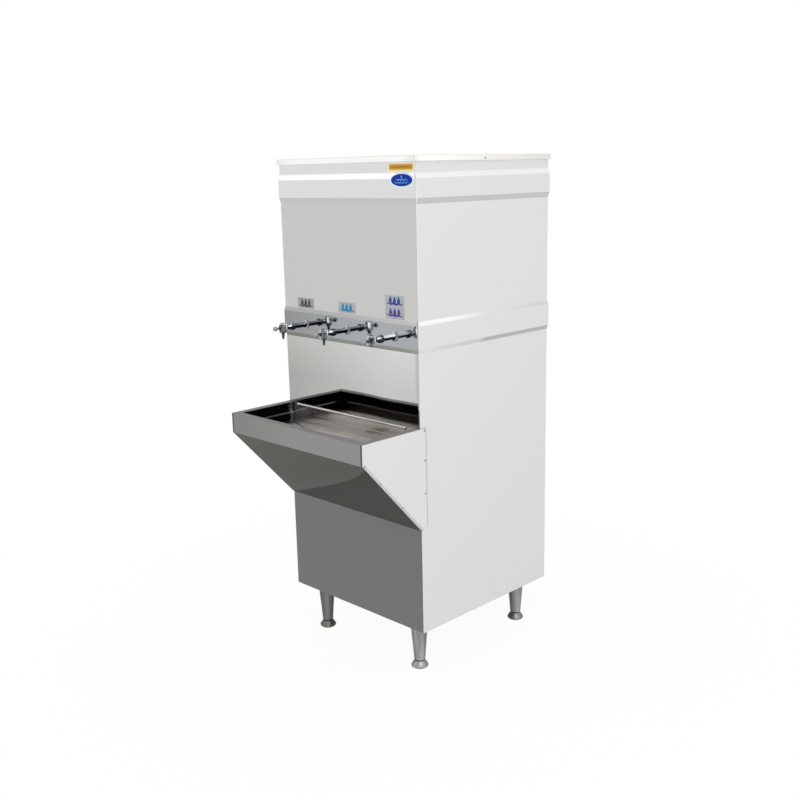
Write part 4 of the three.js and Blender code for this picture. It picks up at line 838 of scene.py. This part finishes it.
# %% [markdown]
# ## The taps
# Each tap is turned about an axis that points out of the wall: a wall rosette, a
# sleeve with a bead, a round nut, a throat, and a valve barrel that stands upright
# with a domed cap. Two of them end in a tapering spout, and the right one in a small
# upward jet. The plunger is its own piece, because it is pushed towards the wall.

# %% Frames of the taps
TAP_NAMES = ("left", "middle", "right")
HEAD_REACH = 83 * MM


def middle_of(node):
    low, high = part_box(node)
    return (low + high) / 2


def tap_frame(name):
    """The place of a tap: its Z points out of the wall, and its Y points up."""
    centre = middle_of(f"tap_{name}_rosette")
    out_of_wall = Matrix.Rotation(pi / 2, 4, "X")
    return Matrix.Translation((centre.x, FRONT - BAND_RELIEF, centre.z)) @ out_of_wall


UPRIGHT = Matrix.Translation((0, 0, HEAD_REACH)) @ Matrix.Rotation(-pi / 2, 4, "X")
for name in TAP_NAMES:
    print(name, "tap at", [round(value, 4) for value in tap_frame(name).translation])

# %% Profiles of the tap
CORE = turning([
    (0, -26.6), (6.0, -26.6), (6.0, 4.2), (8.6, 4.2), (8.6, 7), (7.2, 8.2), (6.9, 42), (7.4, 44),
    (9.6, 44.4), (10.6, 46), (10.6, 54), (9.6, 55.6), (8.4, 56), (8.4, 60), (6.8, 63),
    (6.6, 82), (5.4, 83), (5.4, 94), (4.6, 95.2), (2.9, 95.2), (2.9, 81.4), (0, 81.4),
], 0.7)
BARREL = turning([
    (0, -14.6), (5, -14.4), (9.2, -12.6), (10.6, -10.4), (10.6, -7.2), (11.4, -6.6), (11.4, 5.6),
    (10.4, 6.4), (10.4, 9.4), (9.0, 12.2), (5, 14.4), (0, 14.6),
], 1.2)
SPOUT = turning([
    (0, -18), (1.8, -18), (1.8, -30.8), (3.0, -30.8), (3.3, -27), (4.6, -19), (5.5, -12),
    (5.5, -3.4), (0, -3.4),
], 0.6)
JET = turning([
    (0, 3.4), (4.6, 3.4), (4.5, 12.4), (6.3, 14), (6.3, 16.8), (4.4, 16.8), (3.6, 15.4),
    (1.8, 15.2), (1.8, 11), (0, 11),
], 0.5)
ROSETTE = turning([
    (6.4, 0.4), (12.6, 0.4), (12.7, 1.8), (11.4, 2.5), (9.8, 3.0), (8.4, 3.7), (6.4, 3.7),
    (6.4, 0.4),
], 0.4)
STEM = turning([
    (0, 88.2), (2.4, 88.2), (2.4, 99), (2.0, 100), (2.6, 102), (3.4, 103.2), (0, 104),
], 0.4)
print("points in a tap core:", len(CORE))

# %% Build the taps
def ball(radius, centre, place, steps=14):
    """A turned ball whose middle lies at a height on the axis."""
    profile = []
    for step in range(steps + 1):
        angle = (step / steps - 0.5) * pi
        wide = radius * cos(angle) if 0 < step < steps else 0
        profile.append((wide, centre + radius * sin(angle)))
    return lathe(profile, place)


BALL_RADIUS = 6.8 * MM
BALL_REACH = 109 * MM
for name in TAP_NAMES:
    here = tap_frame(name)
    plunger = f"tap_{name}_plunger"
    nozzle = JET if name == "right" else SPOUT
    turned(f"tap_{name}_core", CORE, here, CHROME, "cabinet", [f"tap_{name}_body"])
    head = [lathe(BARREL, here @ UPRIGHT), lathe(nozzle, here @ UPRIGHT)]
    piece(f"tap_{name}_head", head, HEAD_CHROME, "cabinet")
    turned(f"tap_{name}_flange", ROSETTE, here, FLANGE_CHROME, "cabinet",
           [f"tap_{name}_rosette"])
    turned(f"tap_{name}_push_stem", STEM, here, CHROME, plunger, [plunger], 24)
    push_ball = ball(BALL_RADIUS, BALL_REACH, here)
    piece(f"tap_{name}_push_ball", [push_ball], BALL_SATIN, plunger)
print("taps built:", len(TAP_NAMES))

# %% [markdown]
# ## Legs and screw feet
# Each leg is a cone that narrows towards the floor, and below a dark groove a
# separate foot flares out and rounds in again to a flat base.

# %% Legs and screw feet
LEG_PROFILE = turning([
    (0, 59), (5.2, 59), (5.2, 24.7), (14.8, 24.7), (15.9, 26), (18.3, 59), (25.1, 139.6),
    (25.1, 142.6), (0, 142.6),
], 0.8)
FOOT_PROFILE = turning([
    (0, 0.05), (15.6, 0.05), (20.0, 1.7), (23.5, 4.8), (24.3, 7.8), (22.4, 11.2), (19.2, 15.8),
    (16.0, 20.6), (15.0, 22.3), (9, 22.4), (4.9, 22.4), (4.9, 28), (0, 28),
], 1.4)
for side in ("front_left", "front_right", "rear_left", "rear_right"):
    centre = middle_of(f"foot_{side}")
    here = Matrix.Translation((centre.x, centre.y, 0))
    turned(f"leg_{side}_cone", LEG_PROFILE, here, TURNED_LEG, "cabinet",
           [f"leg_{side}"], 56)
    turned(f"foot_{side}_flare", FOOT_PROFILE, here, TURNED_LEG, f"foot_{side}",
           [f"foot_{side}"], 56)
print("legs and feet: 8 pieces")

# %% [markdown]
# ## The basin as one pressed sheet
# The basin is drawn from one sheet: walls with a narrow ledge, rounded corners, and
# a floor that falls in creases to the drain. Loops of a rounded rectangle, from the
# rim down to the drain and back up the outside, give the sheet its thickness.

# %% Rounded loops
def rounded_loop(half_x, half_y, radius, height, centre_y=0.0, steps=6):
    """Points round a rectangle with rounded corners, anticlockwise from above."""
    loop = []
    for corner in range(4):
        sign_x = 1 if corner in (0, 3) else -1
        sign_y = 1 if corner < 2 else -1
        for step in range(steps + 1):
            angle = (corner + step / steps) * pi / 2
            loop.append((sign_x * (half_x - radius) + radius * cos(angle),
                         centre_y + sign_y * (half_y - radius) + radius * sin(angle), height))
    return loop


print("points in a rounded loop:", len(rounded_loop(1, 1, 0.1, 0)))

# %% Levels of the basin
SHEET = 1.2 * MM
BASIN_HALF_X = BASIN_HIGH.x - SHEET
BASIN_HALF_Y = (BASIN_HIGH.y - BASIN_LOW.y) / 2 - SHEET
DRAIN_HALF = 25.3 * MM
DRAIN_THROAT = 19.4 * MM
DRAIN_FLOOR = BASIN_FLOOR - 8 * MM
LEDGE_WIDTH = 4 * MM
FLOOR_FALL = 3 * MM


def drain_ring(half, height):
    """A round loop about the drain."""
    return rounded_loop(half, half, half, height, BASIN_CENTRE)


def basin_levels(out, drop, top):
    """Loops from the rim down to the edge of the drain, set outwards and down."""
    narrow = LEDGE_WIDTH - out

    def loop(inset, radius, height):
        half_y = BASIN_HALF_Y + (out - inset) / 2
        centre_y = BASIN_CENTRE + (out + inset) / 2
        return rounded_loop(BASIN_HALF_X - inset, half_y, radius, height, centre_y)

    return [
        loop(-out, 10 * MM + out, top),
        loop(-out, 10 * MM + out, LEDGE + MM - drop),
        loop(-out + MM, 9 * MM + out, LEDGE - drop),
        loop(narrow - MM, 9 * MM + out, LEDGE - 1.6 * MM - drop),
        loop(narrow, 10 * MM + out, LEDGE - 3 * MM - drop),
        loop(narrow, 10 * MM + out, BASIN_FLOOR + FLOOR_FALL - drop),
        loop(narrow + MM, 9 * MM + out, BASIN_FLOOR + MM - drop),
        loop(narrow + 4 * MM, 8 * MM + out, BASIN_FLOOR - drop),
        drain_ring(DRAIN_HALF + out, DRAIN_FLOOR - drop),
    ]


print("basin is", round(2 * BASIN_HALF_X, 3), "by", round(2 * BASIN_HALF_Y, 3), "m inside")

# %% The basin as one skin
inner = basin_levels(0.0, 0.0, BASIN_HIGH.z)
outer = basin_levels(SHEET, SHEET, BASIN_HIGH.z)
throat = [drain_ring(DRAIN_THROAT, DRAIN_FLOOR), drain_ring(DRAIN_THROAT, DRAIN_FLOOR - SHEET)]
basin_skin = loft(inner + throat + outer[::-1], closed=True)
piece("basin_pressing", [basin_skin], BASIN_STEEL, "cabinet", ["basin"], fold=24)
print("loops from rim to drain and back:", len(inner + throat + outer))

# %% Rail along the basin
RAIL_LOW, RAIL_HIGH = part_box("basin_rear_rail")
rail_half = (RAIL_HIGH.x - RAIL_LOW.x) / 2
rail_place = Matrix.Translation((RAIL_LOW + RAIL_HIGH) / 2) @ Matrix.Rotation(pi / 2, 4, "Y")
rail_end = [(radius, height - rail_half)
            for radius, height in millimetres([(0, 0), (4.2, 0), (4.4, 6.4), (3, 7.6)])]
rail_profile = eased(rail_end + [(radius, -height) for radius, height in rail_end[::-1]], 0.8 * MM)
RAIL_STEEL = grained("rail_steel", (150, 148, 146), (214, 212, 209), 0.2, 0.85, 60,
                     (0.3, 1, 1))
rail = turned("basin_rail_rod", rail_profile, rail_place, RAIL_STEEL, "cabinet",
              ["basin_rear_rail"], 32)
rail.visible_glossy = False  # so the splash panel doesn't double it
print("rail is", round(2 * rail_half, 3), "m long")

# %% Drain strainer
strainer_place = Matrix.Translation((0, BASIN_CENTRE, DRAIN_FLOOR))
strainer_profile = turning([
    (9, 0.4), (9, -26), (11.8, -26), (11.8, -10.4), (18.8, -9), (18.8, 0.4), (24.7, 0.4),
    (24.4, 1.6), (22.6, 2.2), (20, 1.4), (9, 1.2), (9, 0.4),
], 0.3)


def strainer_disc(place, slats=12, near=1.12 * MM, far=9.3 * MM):
    """Slats between slots that stand for the pierced disc of the strainer."""
    slat = [(near, -0.6 * MM), (far, -0.9 * MM), (far, 0.9 * MM), (near, 0.6 * MM)]
    turns = [Matrix.Rotation(turn * 2 * pi / slats, 4, "Z") for turn in range(slats)]
    return [slab(slat, 0.5 * MM, 1.4 * MM, place @ turn) for turn in turns]


STRAINER_STEEL = grained("strainer_steel", (84, 80, 76), (128, 123, 118), 0.4, 0.8, 90)
hub_profile = turning([(0, 0.4), (3, 0.4), (3, 1.9), (0, 2.1)], 0.3)
hub = lathe(hub_profile, strainer_place, 24)
rose = [lathe(strainer_profile, strainer_place), hub, *strainer_disc(strainer_place)]
piece("drain_strainer_rose", rose, STRAINER_STEEL, "cabinet", ["drain_strainer"])
print("strainer made of", len(rose), "parts")

# %% [markdown]
# ## Screws and rivets
# Small fixings tell how the sheets are held: a screw in the middle of each side
# skirt of the lid, pop rivets on the side panels where the tank's shelf and the base
# pan sit, and rows of rivets on the side plates of the tray. Each is a turned dome,
# and a screw has two crossed dark bars in its dome, painted shade that stands for
# its cross recess.

# %% Screws and rivets
FIXING = grained("zinc_fixing", 168, 206, 0.25, 0.9, 300)
RIVET_GREY = grained("dull_rivet", 138, 170, 0.5, 0.4, 300)
# The dark cross on each screw head is painted shade that stands for its recess.
RECESS_SHADE = grained("screw_recess_shade", 40, 58, 0.6, 0.5, 300)


def facing(point, outwards):
    """A place at a point whose Z axis looks outwards."""
    turn = Vector(outwards).to_track_quat("Z", "Y").to_matrix().to_4x4()
    return Matrix.Translation(point) @ turn


def dome(radius, height):
    return [(0, -0.2 * MM), (radius, -0.2 * MM), (radius, 0.15 * height),
            (radius * 0.8, 0.65 * height), (radius * 0.45, 0.93 * height), (0, height)]


def fixing(name, place, radius, height, body, screw=False, material=FIXING):
    """A rivet, or a screw with two crossed bars in its head."""
    turned(name, eased(dome(radius, height), 0.3 * MM), place, material, body, sides=20)
    if screw:
        reach, half = radius * 0.62, radius * 0.13
        bar = [(-reach, -half), (reach, -half), (reach, half), (-reach, half)]
        bars = [slab(bar, height * 0.7, height * 1.02, place @ Matrix.Rotation(turn, 4, "Z"))
                for turn in (0, pi / 2)]
        piece(f"{name}_cross", bars, RECESS_SHADE, body)


print("fixings:", FIXING.name, RIVET_GREY.name, RECESS_SHADE.name)

# %% Fixings of the lid and the sides
SIDES = ((1, "right"), (-1, "left"))
SKIRT_MIDDLE = (LID_LOW.z + LID_HIGH.z) / 2 - 2 * MM
LID_SCREW_Y = (FRONT + REAR) / 2 - 12 * MM
SIDE_RIVETS = ((178, 774), (354, 773), (60, 158), (470, 158))
for side, label in SIDES:
    skirt = facing((side * (LID_HIGH.x - 1.2 * MM), LID_SCREW_Y, SKIRT_MIDDLE), (side, 0, 0))
    fixing(f"lid_screw_{label}", skirt, 5.2 * MM, 1.2 * MM, "lid", True, RIVET_GREY)
    for place, (depth, height) in enumerate(SIDE_RIVETS):
        point = (side * (HALF_WIDTH + 0.35 * MM), FRONT + depth * MM, height * MM)
        fixing(f"side_rivet_{label}_{place}", facing(point, (side, 0, 0)), 2.2 * MM, 0.5 * MM,
               "cabinet")

# %% Rivets and hems of the tray
HEM = grained("folded_hem", 188, 206, 0.35, 0.1, 200)
HEM_WIDTH = 7 * MM
HEM_LEVELS = ((-0.1 * MM, 0.0), (0.5 * MM, 0.0), (0.7 * MM, 0.5 * MM))
REAR_RIVET_DROPS = (6, 86, 176)
SLOPE_RIVET_SHARES = (0.02, 0.27, 0.64)


def hem_strip(side):
    """A folded hem that runs down the slope edge of a side plate."""
    low = Vector((0, FRONT, SLOPE_LOW))
    high = Vector((0, TRAY_LOW.y, SLOPE_TOP))
    down = (low - high).normalized()
    inwards = Vector((0, -down.z, down.y)) * HEM_WIDTH
    outline = [high, low, low + inwards, high + inwards]
    if side < 0:
        outline.reverse()
    middle = sum(outline, Vector()) / 4
    levels = []
    for out, shrink in HEM_LEVELS:
        drawn_in = [point + (middle - point).normalized() * shrink for point in outline]
        levels.append([Vector((side * (TRAY_HIGH.x + out), *point.yz)) for point in drawn_in])
    return loft(levels)


for side, label in SIDES:
    piece(f"tray_hem_{label}", [hem_strip(side)], HEM, "cabinet")
    spots = [(TRAY_HIGH.y - 7 * MM, TRAY_HIGH.z - drop * MM) for drop in REAR_RIVET_DROPS]
    for share in SLOPE_RIVET_SHARES:
        spots.append((TRAY_LOW.y + (FRONT - TRAY_LOW.y) * share + 2 * MM,
                      SLOPE_TOP + (SLOPE_LOW - SLOPE_TOP) * share + 3 * MM))
    for place, (y, z) in enumerate(spots):
        spot = facing((side * (TRAY_HIGH.x + 0.4 * MM), y, z), (side, 0, 0))
        fixing(f"tray_rivet_{label}_{place}", spot, 3.0 * MM, 0.9 * MM, "cabinet",
               material=RIVET_GREY)
print("tray rivets:", len(SIDES) * len(spots))

# %% Screws of the rear panels
LOUVRE_RELIEF = 7 * MM
REAR_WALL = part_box("rear_panel_lower")[1].y - LOUVRE_RELIEF
REAR_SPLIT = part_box("rear_panel_upper")[0].z
REAR_SCREW_HEIGHTS = (0.17, 0.42, REAR_SPLIT - 0.02, REAR_SPLIT + 0.02, 1.2, 1.365)
for column in (-1, 1):
    for height in REAR_SCREW_HEIGHTS:
        x = column * (HALF_WIDTH - 14 * MM)
        spot = facing((x, REAR_WALL + 0.1 * MM, height), (0, 1, 0))
        fixing(f"rear_screw_{column + 1}_{round(height * 1000)}", spot, 3.6 * MM, 1.4 * MM,
               "cabinet", screw=True)
print("rear wall at", round(REAR_WALL, 4))

# %% [markdown]
# ## Small plates
# An amber strip and a blue oval sit at the top right of the front, and a little
# plate stands over each tap. Each is one or two thin rounded layers with a soft
# edge, and carries only drops and waves of water, which are flat outlines drawn up
# a little from the plate.

# %% Ovals and thin plates
LAYER = 0.3 * MM
LAYER_DEPTH = 0.35 * MM


def ellipse(half_x, half_y, height, steps=40):
    angles = [2 * pi * step / steps for step in range(steps)]
    return [(half_x * cos(angle), half_y * sin(angle), height) for angle in angles]


def blade(half_x, half_y, low, high, round_radius=None):
    """A thin plate with a soft upper edge: oval without a corner radius."""
    soft = min(0.25 * MM, (high - low) * 0.6)
    levels = ((0, low), (0, high - soft), (soft, high))
    if round_radius is None:
        return loft([ellipse(half_x - inset, half_y - inset, height) for inset, height in levels])
    return loft([rounded_loop(half_x - inset, half_y - inset, round_radius, height)
                 for inset, height in levels])


print("points in an oval:", len(ellipse(1, 1, 0)))

# %% Drops and waves
WAVE_HEIGHT = 1.1 * MM


def water_drop(size, low, centre=(0.0, 0.0), steps=20):
    """A drop with its point upwards, made from a circle that narrows to a tip."""
    outline = []
    for step in range(steps):
        angle = 2 * pi * step / steps
        narrow = sin(angle / 2) ** 1.4
        outline.append((centre[0] + size * 0.5 * sin(angle) * narrow,
                        centre[1] + size * 0.62 * cos(angle)))
    return slab(outline[::-1], low, low + LAYER)


def wave_mark(half_x, level_z, low, waves=3, bold=1.0, steps=36):
    """A wavy line of water, thicker in its middle."""
    upper, lower = [], []
    for step in range(steps + 1):
        share = step / steps
        x = (share - 0.5) * 2 * half_x
        z = level_z + WAVE_HEIGHT * sin(share * waves * 2 * pi)
        half = (0.6 + 1.1 * sin(share * pi)) * bold * MM
        upper.append((x, z + half))
        lower.append((x, z - half))
    return slab(lower + upper[::-1], low, low + LAYER)


print("a drop of water has", len(water_drop(MM, 0)[1]), "faces")

# %% Standing plates on the front
def on_front(name, parts, x, z, out, material):
    """One piece from parts that lie flat, stood up against the front."""
    place = facing((x, FRONT - out, z), (0, -1, 0))
    placed = [([place @ point for point in points], faces) for points, faces in parts]
    piece(name, placed, material, "cabinet")


def place_plate(name, x, z, out, layers):
    """Stacks thin layers: each is its half width, half height, corner radius and material."""
    level = 0.0
    for number, (half_x, half_z, radius, material) in enumerate(layers):
        part = blade(half_x * MM, half_z * MM, level, level + LAYER_DEPTH, radius and radius * MM)
        on_front(f"{name}_{number}", [part], x, z, out, material)
        level += LAYER
    return level


print("plates stand on the front, each layer", LAYER, "m above the last")

# %% Films of the plates and marks
AMBER = grained("amber_film", (178, 132, 20), (210, 160, 40), scale=900, specular_ior_level=0.2)
AMBER_EDGE = grained("amber_edge", (240, 218, 158), (246, 228, 178), scale=90)
BLUE = grained("blue_film", (0, 44, 132), (4, 62, 158), scale=60, specular_ior_level=0.1)
PALE_EDGE = grained("pale_edge", (214, 226, 246), (226, 236, 252), scale=60)
PLATE_GREY = grained("plate_satin", (145, 144, 142), (171, 170, 169), 0.4, 0.3, 200)
PLATE_PALE = grained("plate_pale", (154, 160, 164), (182, 187, 190), 0.4, 0.2, 200)
MARK_DARK = grained("mark_dark", (38, 36, 38), (72, 69, 70), scale=260)
MARK_AQUA = grained("mark_aqua", (0, 106, 158), (30, 140, 186), scale=260)
MARK_BLUE = grained("mark_blue", (26, 34, 126), (58, 68, 158), scale=260)
MARK_VIOLET = grained("mark_violet", (62, 36, 120), (96, 66, 152), scale=260)
OVAL_MARK = grained("oval_mark", (72, 120, 214), (120, 164, 240), scale=200)
AMBER_MARK = grained("amber_mark", (140, 94, 14), (168, 118, 24), scale=200)
print("materials so far:", len(bpy.data.materials))

# %% Places of the plates
STRIP_X = HALF_WIDTH - 47.6 * MM
STRIP_Z = UPPER_BAND_HIGH + UPPER_BEVEL + 15.5 * MM
OVAL_X = STRIP_X + 4.6 * MM
OVAL_Z = UPPER_BAND_HIGH - 3.2 * MM
STRIP_LAYERS = [(43.2, 9.4, 1.2, AMBER_EDGE), (40.6, 6.6, 0.8, AMBER)]
OVAL_LAYERS = [(40.6, 18.2, None, PALE_EDGE), (37.0, 15.2, None, BLUE)]
PLATE_HALF_X = 34.4
PLATE_HALF_Z = 14.4
MARK_ROW = 30
DROP_SHIFTS = (-15, 0, 15)
TAP_PLATES = (
    ("left", 59.6, PLATE_HALF_Z, PLATE_GREY, (MARK_DARK,)),
    ("middle", 59.6, 14.6, PLATE_PALE, (MARK_AQUA,)),
    ("right", 74.8, 30.6, PLATE_PALE, (MARK_BLUE, MARK_VIOLET)),
)
print("strip at height", round(STRIP_Z, 3), "and oval at height", round(OVAL_Z, 3))

# %% Strip and oval
top = place_plate("amber_strip", STRIP_X, STRIP_Z, 0.0, STRIP_LAYERS)
strip_wave = wave_mark(37 * MM, 0.0, top, waves=9, bold=1.1)
on_front("amber_strip_wave", [strip_wave], STRIP_X, STRIP_Z, 0.0, AMBER_MARK)
top = place_plate("blue_oval", OVAL_X, OVAL_Z, BAND_RELIEF, OVAL_LAYERS)
oval_marks = [water_drop(7 * MM, top, (0.0, 8.6 * MM)),
              wave_mark(22 * MM, 0.6 * MM, top, waves=4, bold=0.9),
              wave_mark(26 * MM, -6.4 * MM, top, waves=5, bold=0.7)]
on_front("blue_oval_marks", oval_marks, OVAL_X, OVAL_Z, BAND_RELIEF, OVAL_MARK)
print("strip and oval stand", top, "m high")

# %% Plates over the taps
for name, rise, half_z, plate, marks in TAP_PLATES:
    x = tap_frame(name).translation.x
    z = TAP_AXIS + rise * MM
    top = place_plate(f"{name}_plate", x, z, 0.0, [(PLATE_HALF_X, half_z, 1.5, plate)])
    for row, mark in enumerate(marks):
        centre = z + (half_z - PLATE_HALF_Z - row * MARK_ROW) * MM
        drops = [water_drop(15 * MM, top, (shift * MM, 3.4 * MM)) for shift in DROP_SHIFTS]
        wave = wave_mark(28 * MM, -7.4 * MM, top, bold=1.7)
        on_front(f"{name}_plate_marks_{row}", [*drops, wave], x, centre, 0.0, mark)
print("plates over the taps:", len(TAP_PLATES))

# %% [markdown]
# ## Fittings at the rear
# The water inlet is a brass fitting with two hexagon nuts and a threaded end, the
# cord gland is a black dome nut, and the thermostat has a fluted knob. The thread is
# a stack of fine ridges, because at this size its pitch can't be told from rings.

# %% Water inlet
def hexagon(radius, low, high, place):
    """A hexagon nut with its corners chamfered."""
    chamfer = 1.0 * MM
    levels = ((radius - chamfer, low), (radius, low + chamfer),
              (radius, high - chamfer), (radius - chamfer, high))
    return lathe([(0, low), *levels, (0, high)], place, 6)


def rear_frame(node):
    centre = middle_of(node)
    out_of_wall = Matrix.Rotation(-pi / 2, 4, "X")
    return Matrix.Translation((centre.x, REAR_WALL, centre.z)) @ out_of_wall


NUT_RADIUS = 14.8 * MM
inlet = rear_frame("inlet_fitting")
ridge = [(9.6, 8)]
for turn in range(11):
    ridge += [(10.2, 9 + turn * 1.5), (9.5, 9.75 + turn * 1.5)]
inlet_profile = millimetres([
    (0, -8.4), (9.6, -8.4), *ridge, (9.6, 25.6), (9, 26), (4.8, 26), (4.8, 1), (0, 1),
])
barb_profile = millimetres([
    (0, -24.8), (4, -24.8), (5, -21), (4.2, -21), (5, -17), (4.2, -17), (4.8, -9), (0, -9),
])
piece("inlet_fitting_turned", [
    lathe(inlet_profile, inlet), lathe(barb_profile, inlet, 32),
    hexagon(NUT_RADIUS, 0.4 * MM, 7.2 * MM, inlet),
    hexagon(NUT_RADIUS, -8.4 * MM, -1.6 * MM, inlet),
], BRASS, "cabinet", ["inlet_fitting"], fold=24)
print("inlet at", [round(value, 3) for value in inlet.translation])

# %% Cord gland
gland = rear_frame("cord_gland")
gland_profile = turning([
    (4.5, -8.6), (14.6, -8.6), (14.6, -1.6), (9.6, -1.6), (9.6, 0.4), (13.2, 0.4), (13.2, 4),
    (11, 6), (10.8, 9), (9.6, 13), (7.2, 15.8), (4.5, 15.8), (4.5, -8.6),
], 0.5)
turned("cord_gland_nut", gland_profile, gland, BLACK_PLASTIC, "cabinet",
       ["cord_gland"])
print("gland at", [round(value, 3) for value in gland.translation])

# %% Thermostat knob
KNOB_LEVELS = ((14.6, 0.6, 0.6), (15.6, 1.4, 0.8), (14.8, 10.6, 0.8), (13.2, 12.6, 0.3))


def fluted_knob(place, flutes=18):
    """A knob whose rim is scalloped."""
    levels = []
    for radius, height, depth in KNOB_LEVELS:
        loop = []
        for step in range(flutes * 6):
            angle = 2 * pi * step / (flutes * 6)
            reach = (radius - depth * (0.5 + 0.5 * cos(flutes * angle))) * MM
            loop.append((reach * cos(angle), reach * sin(angle), height * MM))
        levels.append(loop)
    return loft(levels, place)


knob = rear_frame("thermostat_knob")
pointer = slab(millimetres([(-1.2, -2), (1.2, -2), (1.2, 12), (-1.2, 12)]), 12.4 * MM,
               13.6 * MM, knob)
piece("thermostat_knob_fluted", [fluted_knob(knob)], BLACK_PLASTIC, "thermostat_knob",
      ["thermostat_knob"])
piece("thermostat_knob_pointer", [pointer], WHITE_PLASTIC, "thermostat_knob")
print("knob at", [round(value, 3) for value in knob.translation])

# %% [markdown]
# ## Soft edges on the sheets
# A sheet that was folded has a small radius on each fold. A bevel modifier with an
# angle limit rounds the folds of the lid, the tray and the tank's cover, and leaves
# their flats alone.

# %% Soft edges on the sheets
FOLD_RADIUS = 0.5 * MM
FOLD_ANGLE = 40
for name in ("lid", "tray_apron", "tank_cover"):
    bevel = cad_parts[name].modifiers.new("soft_edge", "BEVEL")
    bevel.width = FOLD_RADIUS
    bevel.segments = 2
    bevel.limit_method = "ANGLE"
    bevel.angle_limit = radians(FOLD_ANGLE)
print("soft edges on three sheets")

# %% [markdown]
# ## The studio
# A white room and a pale floor. The camera, mirrors and glass see both as white, and
# only the light that falls on the cooler comes from a dimmer room. A large lamp from
# the upper right gives the folds their light and shade, and a weaker one from the
# left keeps the shaded side open.

# %% The room
ROOM_LIGHT = 0.78


def sum_of_rays(root):
    """1 for a camera, mirror or glass ray, and 0 for light on the object."""
    rays = [root.make("ShaderNodeLightPath", output=name)
            for name in ("Is Camera Ray", "Is Glossy Ray", "Is Transmission Ray")]
    return root.math("MINIMUM", rays[0] + rays[1] + rays[2], 1.0)


def studio_world():
    world = bpy.data.worlds.new("white_room")
    bpy.context.scene.world = world
    world.use_nodes = True
    world.node_tree.nodes.clear()
    root = Wire(world.node_tree)
    strength = ROOM_LIGHT + sum_of_rays(root) * (1 - ROOM_LIGHT)
    background = root.make("ShaderNodeBackground",
                           inputs={"Color": (1, 1, 1, 1), "Strength": strength})
    root.make("ShaderNodeOutputWorld", inputs={"Surface": background})


studio_world()
print("room lights the cooler at", ROOM_LIGHT)

# %% The floor
FLOOR_HALF = 8.0
FLOOR_DROP = 0.3 * MM
FLOOR_TONE = (0.93, 0.93, 0.93, 1)
FLOOR_GLOW = 0.94
SHADOW_REACH = (0.5, 1.6)


def pale_floor(place):
    x, y, _ = place.axes()
    diffuse = place.make("ShaderNodeBsdfDiffuse", inputs={"Color": FLOOR_TONE})
    outside = place.math("SQRT", x * x + y * y).ramp(*SHADOW_REACH)
    shown = sum_of_rays(place) * (FLOOR_GLOW + outside * (1 - FLOOR_GLOW))
    return blend(shown, diffuse, glow(place, 255))


corners = ((-1, -1), (1, -1), (1, 1), (-1, 1))
points = [Vector((x * FLOOR_HALF, y * FLOOR_HALF, -FLOOR_DROP)) for x, y in corners]
mesh = bpy.data.meshes.new("studio_floor")
mesh.from_pydata(points, [], [(0, 1, 2, 3)])
mesh.materials.append(finish("pale_floor", pale_floor))
new_object("studio_floor", mesh)
print("floor:", 2 * FLOOR_HALF, "m wide")

# %% The lamps
LAMP_SIZE = 2.0
LAMPS = (
    ("upper_right_lamp", (2.6, -1.6, 3.4), (0, 0, 0.7), 42),
    ("upper_left_lamp", (-2.4, -2.4, 2.8), (0, 0, 0.6), 14),
)


def soft_lamp(name, place, target, power):
    lamp = bpy.data.lights.new(name, "AREA")
    lamp.shape = "SQUARE"
    lamp.size = LAMP_SIZE
    lamp.energy = power
    holder = new_object(name, lamp)
    holder.location = place
    aimed = (Vector(target) - Vector(place)).to_track_quat("-Z", "Y")
    holder.rotation_euler = aimed.to_euler()


for lamp in LAMPS:
    soft_lamp(*lamp)
bpy.context.scene.view_settings.view_transform = "Standard"
print("lamps:", [light.name for light in bpy.data.lights])

# %% [markdown]
